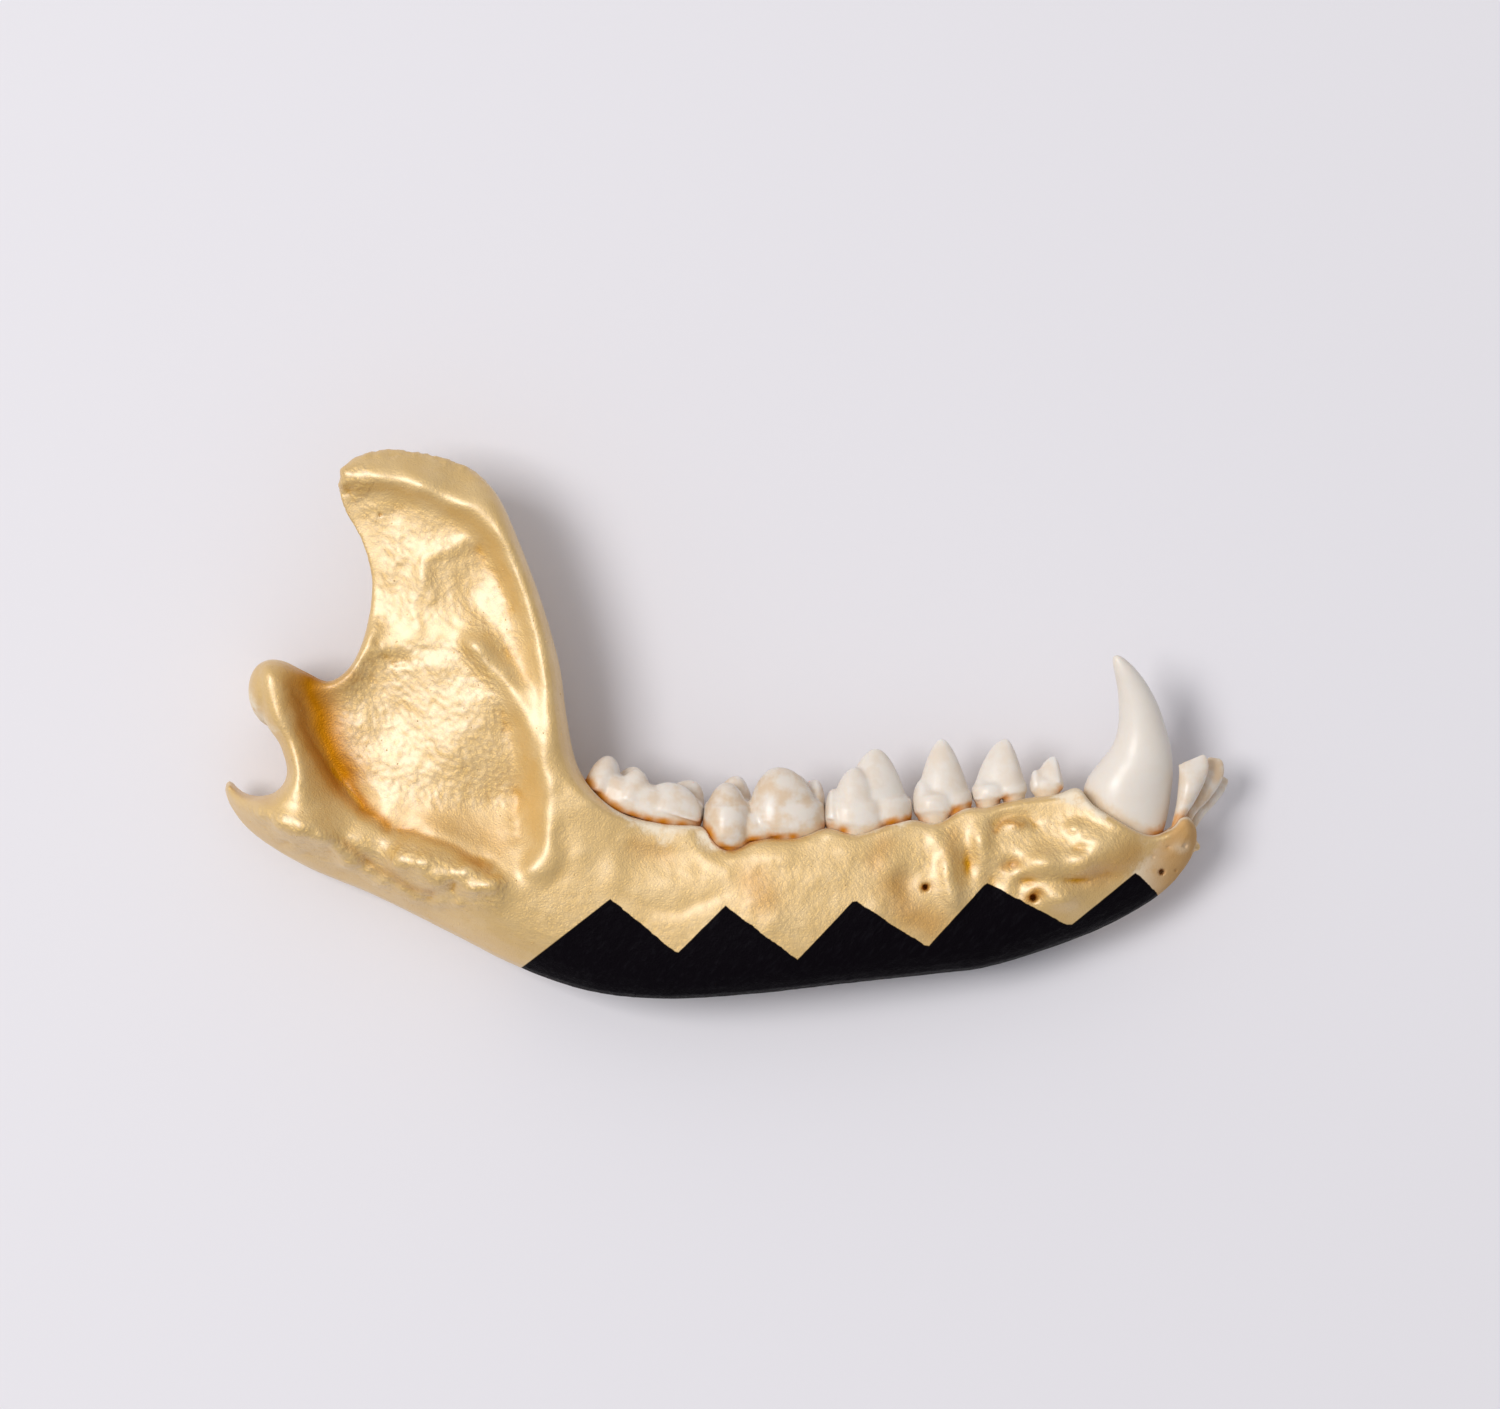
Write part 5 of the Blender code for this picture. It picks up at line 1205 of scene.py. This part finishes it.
def bare_depth(points, normals, beside_teeth):
    """How deep each point lies in the unpainted places, below zero in the paint."""
    flat = points[:, :2]
    xs, widths = zip(*BARE_MARGIN)
    symphysis = 4 * (1 - oval_distance(flat, **BARE_SYMPHYSIS))
    depth = np.maximum.reduce([
        np.interp(points[:, 0], xs, widths) - beside_teeth,
        depth_inside(flat, BARE_RIM), depth_inside(flat, BARE_CHIN),
        np.minimum(depth_inside(flat, BARE_JOINT), JOINT_TOP - points[:, 2]),
        np.minimum(symphysis, -3 * (normals[:, 2] + 0.4))])
    away = np.linalg.norm(points - np.array(PAINT_DROP[:3]), axis=1)
    return np.minimum(depth, 4 * (away - 1.4 * PAINT_DROP[3]))


def mark_bone(mesh, teeth):
    """Keep at each point what the paint, its painted shade, the stains and the bare bone follow."""
    points, normals = points_of(mesh), normals_of(mesh)
    beside = nearest_distance(points, teeth)
    set_values(mesh, {
        "beside_teeth": beside, "bare": bare_depth(points, normals, beside),
        "hollow": hollowness(mesh, 8), "valley": hollowness(mesh, 60),
        "coarse": rough_share(points[:, :2]),
        "beneath": smooth_step(0.5 - 2.5 * normals[:, 2]),
        "pooled_and_shaded": pooled_and_shaded_share(points), "deposit": share_of_spots(points, DEPOSITS)})


def cut_sockets(bone, teeth, sizes):
    """Cut the room of each tooth out of the bone."""
    scene = bpy.context.scene
    room = bpy.data.collections.new("tooth_room")
    scene.collection.children.link(room)
    for tooth in teeth:
        cutter = grown_copy(tooth, sizes.gap, 2 * sizes.voxel)
        scene.collection.objects.unlink(cutter)
        room.objects.link(cutter)
    boolean = bone.modifiers.new("sockets", "BOOLEAN")
    boolean.operation = "DIFFERENCE"
    boolean.operand_type = "COLLECTION"
    boolean.solver = "MANIFOLD"
    boolean.collection = room
    before = len(bone.data.vertices)
    evaluated(bone)
    if len(bone.data.vertices) == before:
        raise RuntimeError("the sockets weren't cut")
    for cutter in list(room.objects):
        remove(cutter)


class Shader(NodeTree):
    """A material's nodes, with short ways to make the common ones."""

    def __init__(self, name):
        self.material = bpy.data.materials.new(name)
        self.material.use_nodes = True
        super().__init__(self.material.node_tree)

    def finished(self, inputs):
        """Give the surface its inputs, and hand over the material."""
        for name, value in inputs.items():
            self.join(self.tree.nodes["Principled BSDF"], name, value)
        return self.material

    def math(self, operation, a, b, clamp=False):
        node = self.node("ShaderNodeMath", {0: a, 1: b}, operation=operation, use_clamp=clamp)
        return node.outputs[0]

    def plus(self, a, b, clamp=False):
        return self.math("ADD", a, b, clamp)

    def minus(self, a, b, clamp=False):
        return self.math("SUBTRACT", a, b, clamp)

    def times(self, a, b):
        return self.math("MULTIPLY", a, b)

    def ramp(self, value, low, high, to_low=0.0, to_high=1.0):
        node = self.node("ShaderNodeMapRange",
                         {"Value": value, "From Min": low, "From Max": high,
                          "To Min": to_low, "To Max": to_high},
                         interpolation_type="SMOOTHSTEP")
        return node.outputs[0]

    def value(self, name):
        return self.node("ShaderNodeAttribute", {}, attribute_name=name).outputs["Fac"]

    def place(self):
        return self.node("ShaderNodeTexCoord", {}).outputs["Object"]

    def axes(self, place):
        return self.node("ShaderNodeSeparateXYZ", {"Vector": place}).outputs

    def stretched(self, place, stretch, degrees=0.0):
        """The place drawn out along Y by so much, after a turn about Z."""
        node = self.node("ShaderNodeMapping",
                         {"Vector": place, "Scale": (1.0, stretch, 1.0),
                          "Rotation": (0, 0, math.radians(degrees))}, vector_type="TEXTURE")
        return node.outputs[0]

    def strayed(self, place, size_mm, reach_mm):
        """The place moved to and fro by noise."""
        wander = self.node("ShaderNodeTexNoise", {"Vector": place, "Scale": 1 / (size_mm * MM),
                                                  "Detail": 1.0})
        even = self.node("ShaderNodeVectorMath",
                         {0: wander.outputs["Color"], 1: (0.5, 0.5, 0.5)}, operation="SUBTRACT")
        node = self.node("ShaderNodeVectorMath",
                         {0: even.outputs[0], 1: (reach_mm * MM,) * 3, 2: place},
                         operation="MULTIPLY_ADD")
        return node.outputs[0]

    def facets(self, place, size_mm):
        """Facets about so many millimetres wide, 0 at their middles."""
        node = self.node("ShaderNodeTexVoronoi", {"Vector": place, "Scale": 1 / (size_mm * MM)})
        return node.outputs["Distance"]

    def noise(self, place, size_mm, detail=2.0, roughness=0.5):
        node = self.node("ShaderNodeTexNoise", {"Vector": place, "Scale": 1 / (size_mm * MM),
                                                "Detail": detail, "Roughness": roughness})
        return node.outputs["Fac"]

    def even_noise(self, place, size_mm, detail=2.0, roughness=0.5):
        """Noise about zero."""
        return self.minus(self.noise(place, size_mm, detail, roughness), 0.5)

    def blend(self, factor, a, b):
        """From colour a to colour b."""
        node = self.node("ShaderNodeMix", {0: factor, 6: a, 7: b}, data_type="RGBA")
        return node.outputs[2]

    def mixed(self, factor, a, b):
        """From number a to number b."""
        return self.node("ShaderNodeMix", {0: factor, 2: a, 3: b}).outputs[0]

    def bump(self, height, strength, distance_mm):
        inputs = {"Height": height, "Strength": strength, "Distance": distance_mm * MM}
        return self.node("ShaderNodeBump", inputs).outputs[0]


def black_share(shader, place):
    """1 below the zigzag border and 0 above it, with a hand-painted edge."""
    axes = shader.axes(place)
    waver = shader.even_noise(place, 0.8, 3.0)

    def share(name, shift, ends, reach):
        """The place along one axis as a share of the map, a little to and fro."""
        low, high = ends
        plain = shader.math("DIVIDE", shader.minus(axes[name], (low + shift) * MM),
                            (high - low) * MM)
        return shader.plus(plain, shader.times(waver, reach))

    border = shader.node("ShaderNodeFloatCurve",
                         {"Value": share("X", SHIFT[0], BORDER_X, BORDER_WAVER[0])})
    (left, right), (low, high) = BORDER_X, BORDER_Y
    corners = [(left, low), (ZIGZAG[0][0] - 0.4, low), *ZIGZAG,
               (ZIGZAG[-1][0] + 1.2, low), (right, low)]
    curve = border.mapping.curves[0]
    for _ in range(len(corners) - len(curve.points)):
        curve.points.new(0.5, 0.5)
    for point, (x, y) in zip(curve.points, corners):
        point.location = ((x - left) / (right - left), (y - low) / (high - low))
        point.handle_type = "VECTOR"
    border.mapping.update()
    depth = shader.minus(border.outputs[0], share("Y", SHIFT[1], BORDER_Y, BORDER_WAVER[1]))
    return shader.ramp(depth, -BORDER_FADE, BORDER_FADE)


def bare_share(shader, place):
    """1 on the unpainted bone and 0 on the paint, with a ragged border."""
    ragged = shader.times(shader.even_noise(place, 0.5, 4.0, 0.65), 1.1)
    return shader.ramp(shader.plus(shader.value("bare"), ragged), -0.35, 0.4)


def gold_colour(shader, place, hollow, pooled_and_shaded, look):
    """Gold paint with paler patches, painted shade in hollows, and brown where it has pooled and
    where creases and pits get painted shade.
    """
    patches = shader.ramp(shader.noise(place, 2.5), 0.45, 0.7, 0.0, 0.3)
    gold = shader.blend(hollow, look.gold, look.hollow_shade_gold)
    gold = shader.blend(patches, gold, look.thin_gold)
    return shader.blend(pooled_and_shaded, gold, look.pooled_and_shaded_gold)


def bone_colour(shader, place, grain, look):
    """Unpainted bone, browner at the chin and stained right beside the teeth."""
    beside = shader.value("beside_teeth")
    clouds = shader.ramp(shader.noise(place, 0.9, 3.0, 0.6), 0.45, 0.8)
    chin = shader.times(shader.ramp(shader.axes(place)["X"], 0.0325, 0.0375, 0.0, 0.9),
                        shader.ramp(beside, 0.4, 1.2))
    near = shader.plus(beside, shader.times(shader.minus(grain, 0.5), 0.6))
    stain = shader.times(shader.ramp(near, 0.4, 0.12), shader.value("deposit"))
    bone = shader.blend(clouds, look.bone, look.dark_bone)
    bone = shader.blend(chin, bone, look.chin)
    return shader.blend(stain, bone, look.stain)


def painted_bone_material(look):
    """Gold paint with painted shade in its hollows, black paint below the zigzag, and bare stained
    bone by the teeth.
    """
    shader = Shader("bone_paint")
    place = shader.place()
    grain = shader.noise(place, 0.15, 2.0, 0.6)
    strokes = shader.noise(shader.stretched(place, 5.0, -40), 0.3, 2.0, 0.55)
    facets = shader.facets(shader.stretched(shader.strayed(place, 0.9, 0.35), 1.8, 40), 0.32)
    # Painted shade in part: pooled paint, and the shade of creases and pits.
    pooled_and_shaded = shader.value("pooled_and_shaded")
    # Painted shade: hollow and valley darken the gold, and take off its coat further down.
    hollow = shader.plus(shader.ramp(shader.value("hollow"), 0.0, 0.12, 0.0, 0.4),
                         shader.ramp(shader.value("valley"), 0.10, 0.50, 0.0, 0.9), clamp=True)
    bare = bare_share(shader, place)
    black = shader.minus(black_share(shader, place),
                         shader.times(bare, shader.value("beneath")), clamp=True)
    gilt = shader.minus(shader.minus(1.0, bare), black, clamp=True)
    colour = shader.blend(bare, gold_colour(shader, place, hollow, pooled_and_shaded, look),
                          bone_colour(shader, place, grain, look))
    night = shader.blend(shader.ramp(strokes, 0.5, 0.8), look.black, look.worn_black)
    rough = shader.mixed(bare, shader.ramp(grain, 0.3, 0.7, 0.40, 0.54), 0.6)
    rough = shader.mixed(black, rough, shader.ramp(strokes, 0.35, 0.7, 0.6, 0.45))
    height = shader.times(facets, shader.ramp(shader.value("coarse"), 0.1, 1.0, 0.02, 0.11))
    height = shader.plus(height, shader.times(grain, 0.085))
    height = shader.plus(height, shader.times(strokes, 0.035))
    height = shader.times(height, shader.mixed(bare, 1.0, 0.5))
    # The coat is left off where the gold has its painted shade and its pools.
    open_paint = shader.minus(gilt, shader.math("MAXIMUM", pooled_and_shaded, hollow), clamp=True)
    return shader.finished({
        "Base Color": shader.blend(black, colour, night), "Metallic": shader.times(gilt, 0.4),
        "Roughness": rough, "Normal": shader.bump(height, 1.0, 1.0),
        "Coat Weight": open_paint, "Coat Roughness": 0.46, "Coat IOR": 2.45,
        "Specular IOR Level": 0.03})


def enamel_material(look):
    """Off-white glossy enamel, darker at the neck, stained near the bone, with painted shade in its
    crevices and painted highlights on its ridges.
    """
    shader = Shader("tooth_enamel")
    place = shader.place()
    clouds = shader.noise(place, 1.6, 3.0, 0.55)
    mottle = shader.times(shader.even_noise(place, 0.7), 1.2)
    lines = shader.noise(shader.stretched(place, 6.0), 0.3, 1.0)
    hollow = shader.value("hollow")
    from_bone = shader.value("from_bone")
    warm = shader.times(shader.ramp(clouds, 0.36, 0.66, 0.15, 1.0), shader.value("cream"))
    neck = shader.times(shader.ramp(shader.plus(from_bone, mottle), 1.1, 0.1), 0.75)
    # Painted shade in the crevices and painted highlights on the ridges of the enamel.
    crevice_shade = shader.ramp(hollow, 0.02, 0.09, 0.0, 0.6)
    ridge_highlight = shader.ramp(hollow, -0.01, -0.05, 0.0, 0.8)
    near = shader.plus(from_bone, shader.times(mottle, 0.5))
    stain = shader.times(shader.ramp(near, 0.8, 0.2), shader.value("deposit"))
    colour = look.enamel
    for share, tint in ((warm, look.cream), (neck, look.neck), (crevice_shade, look.crevice_shade),
                        (ridge_highlight, look.ridge_highlight), (stain, look.stain)):
        colour = shader.blend(share, colour, tint)
    return shader.finished({
        "Base Color": colour, "Roughness": shader.ramp(clouds, 0.3, 0.7, 0.34, 0.46),
        "Normal": shader.bump(lines, 0.25, 0.03), "Coat Weight": 0.12, "Coat Roughness": 0.15,
        "Subsurface Weight": 0.2, "Subsurface Scale": 0.5 * MM,
        "Subsurface Radius": (1.0, 0.7, 0.45)})


def floor_material(look):
    """Pale matte board."""
    return Shader("pale_board").finished({
        "Base Color": look.floor, "Roughness": 0.9, "Specular IOR Level": 0.2})


def set_camera(scene):
    """Look straight down, as in the photograph."""
    camera = bpy.data.cameras.new("camera")
    camera.sensor_width = 36.0
    camera.lens = camera.sensor_width * VIEW_DISTANCE * PIXELS_PER_MM / IMAGE[0]
    camera.clip_start = 0.01
    eye = bpy.data.objects.new("camera", camera)
    eye.location = to_frame(Vector(((IMAGE[0] / 2 - IMAGE_ORIGIN[0]) / PIXELS_PER_MM,
                                    (IMAGE_ORIGIN[1] - IMAGE[1] / 2) / PIXELS_PER_MM,
                                    VIEW_HEIGHT + VIEW_DISTANCE)))
    scene.collection.objects.link(eye)
    scene.camera = eye


def set_floor(look):
    """Lay the floor at the level that the bone rests on."""
    shape = bmesh.new()
    bmesh.ops.create_grid(shape, x_segments=2, y_segments=2, size=look.floor_size / 2)
    floor = as_object("floor", shape)
    floor.data.materials.append(floor_material(look))


def set_lamp(scene, power):
    """Hang the soft lamp at the upper left, aimed at the bone."""
    light = bpy.data.lights.new("key_light", "AREA")
    light.shape = "RECTANGLE"
    light.size, light.size_y = LAMP_SIZE, LAMP_SIZE
    light.energy = power
    light.color = LAMP_COLOUR
    lamp = bpy.data.objects.new("key_light", light)
    lamp.location = LAMP_PLACE
    lamp.rotation_euler = (-lamp.location).to_track_quat("-Z", "Y").to_euler()
    scene.collection.objects.link(lamp)


def pale_room(strength):
    """Surroundings that are brighter overhead than near the table."""
    world = bpy.data.worlds.new("pale_room")
    world.use_nodes = True
    tree = NodeTree(world.node_tree)
    direction = tree.node("ShaderNodeTexCoord", {}).outputs["Generated"]
    axes = tree.node("ShaderNodeSeparateXYZ", {"Vector": direction}).outputs
    brightness = ROOM_LEVEL * strength
    for name, slope in ROOM_SLOPES.items():
        added = tree.node("ShaderNodeMath", {0: axes[name], 1: slope * strength, 2: brightness},
                          operation="MULTIPLY_ADD")
        brightness = added.outputs[0]
    background = world.node_tree.nodes["Background"]
    tree.join(background, "Strength", brightness)
    tree.join(background, "Color", ROOM_COLOUR)
    return world


def finish_piece(thing, node, material):
    """Set a piece in the frame in place of its node."""
    mesh = thing.data
    set_points(mesh, to_frame(points_of(mesh)))
    mesh.materials.clear()
    mesh.materials.append(material)
    mesh.shade_smooth()
    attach(thing, "root")
    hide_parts(node)


def material_named(name, maker, look):
    """The material of that name, made the first time that it is asked for."""
    return bpy.data.materials.get(name) or maker(look)


class JAWBONE_OT_teeth(Operator):
    """Make the cheek teeth, the canine and the incisors"""
    bl_idname = "jawbone.make_teeth"
    bl_label = "Make the Teeth"

    def execute(self, context):
        sizes = context.scene.jaw_teeth
        for name, tooth in CHEEK_TEETH.items():
            cheek_tooth(name, tooth, sizes)
        front_tooth("crown_canine", CANINE, sizes, canine=True)
        for name, levels in INCISORS.items():
            front_tooth("crown_" + name, levels, sizes)
        return {"FINISHED"}


class JAWBONE_OT_bone(Operator):
    """Make the bone with its relief, its sockets and its marks for the paint"""
    bl_idname = "jawbone.make_bone"
    bl_label = "Make the Bone"

    def execute(self, context):
        sizes = context.scene.jaw_bone
        noise.seed_set(NOISE_SEED)
        material = material_named("bone_paint", painted_bone_material, context.scene.jaw_paint)
        pieces = [bone_body(sizes), condyle_barrel(), paint_drop()]
        bone = fused(joined("painted_bone", pieces), sizes.voxel, 2)
        points, normals = points_of(bone.data), normals_of(bone.data)
        points += normals * fine_relief(points, normals, sizes)[:, None]
        sink_pits(points)
        level_feet(points)
        set_points(bone.data, points)
        teeth = [bpy.data.objects[name] for name in TOOTH_NODES]
        cut_sockets(bone, teeth, context.scene.jaw_teeth)
        thin_out(bone, sizes.triangles)
        bone = joined("painted_bone", [paint_grains(bone, sizes, material), bone])
        mark_bone(bone.data, teeth)
        finish_piece(bone, "mandible", material)
        return {"FINISHED"}


class JAWBONE_OT_dress_teeth(Operator):
    """Mark how far each tooth's skin is from the bone, and give the teeth their enamel"""
    bl_idname = "jawbone.dress_teeth"
    bl_label = "Dress the Teeth"

    def execute(self, context):
        material = material_named("tooth_enamel", enamel_material, context.scene.jaw_enamel)
        plain = own_copy(bpy.data.objects["painted_bone"])
        set_points(plain.data, points_of(plain.data) / MM - SHIFT)
        cheek_pieces = {"crown_" + name for name in CHEEK_TEETH}
        for name, node in TOOTH_NODES.items():
            tooth = bpy.data.objects[name]
            mesh = tooth.data
            points = points_of(mesh)
            smooth = np.zeros(len(points))
            set_values(mesh, {
                "from_bone": nearest_distance(points, [plain]),
                "hollow": hollowness(mesh, 12) if name in cheek_pieces else smooth,
                "cream": smooth + CREAM[name],
                "deposit": share_of_spots(points, DEPOSITS)})
            finish_piece(tooth, node, material)
        remove(plain)
        return {"FINISHED"}


class JAWBONE_OT_stage(Operator):
    """Set the camera, the floor, the soft light and the pale surroundings"""
    bl_idname = "jawbone.set_stage"
    bl_label = "Set the Stage"

    def execute(self, context):
        scene = context.scene
        look = scene.jaw_stage
        set_camera(scene)
        set_floor(look)
        set_lamp(scene, look.key_strength)
        scene.world = pale_room(look.sky_strength)
        scene.view_settings.view_transform = "Standard"
        return {"FINISHED"}


class JAWBONE_PT_panel(Panel):
    """The jawbone's operators and their values"""
    bl_idname = "JAWBONE_PT_panel"
    bl_label = "Painted Jawbone"
    bl_space_type = "VIEW_3D"
    bl_region_type = "UI"
    bl_category = "Jawbone"

    def draw(self, context):
        for operator in OPERATORS:
            self.layout.operator(operator.bl_idname)
        for name, group in GROUPS.items():
            box = self.layout.box()
            box.label(text=name.replace("_", " ").title())
            for key in group.__annotations__:
                box.prop(getattr(context.scene, name), key)


GROUPS = {"jaw_bone": BoneSizes, "jaw_teeth": ToothSizes, "jaw_paint": PaintLook,
          "jaw_enamel": ToothLook, "jaw_stage": StageLook}
OPERATORS = (JAWBONE_OT_teeth, JAWBONE_OT_bone, JAWBONE_OT_dress_teeth, JAWBONE_OT_stage)


def register():
    for kind in (*GROUPS.values(), *OPERATORS, JAWBONE_PT_panel):
        bpy.utils.register_class(kind)
    for name, group in GROUPS.items():
        setattr(bpy.types.Scene, name, PointerProperty(type=group))


def unregister():
    for name in GROUPS:
        delattr(bpy.types.Scene, name)
    for kind in reversed((*GROUPS.values(), *OPERATORS, JAWBONE_PT_panel)):
        bpy.utils.unregister_class(kind)


def main():
    register()
    bpy.ops.jawbone.make_teeth()
    bpy.ops.jawbone.make_bone()
    bpy.ops.jawbone.dress_teeth()
    bpy.ops.jawbone.set_stage()


if __name__ == "__main__":
    main()
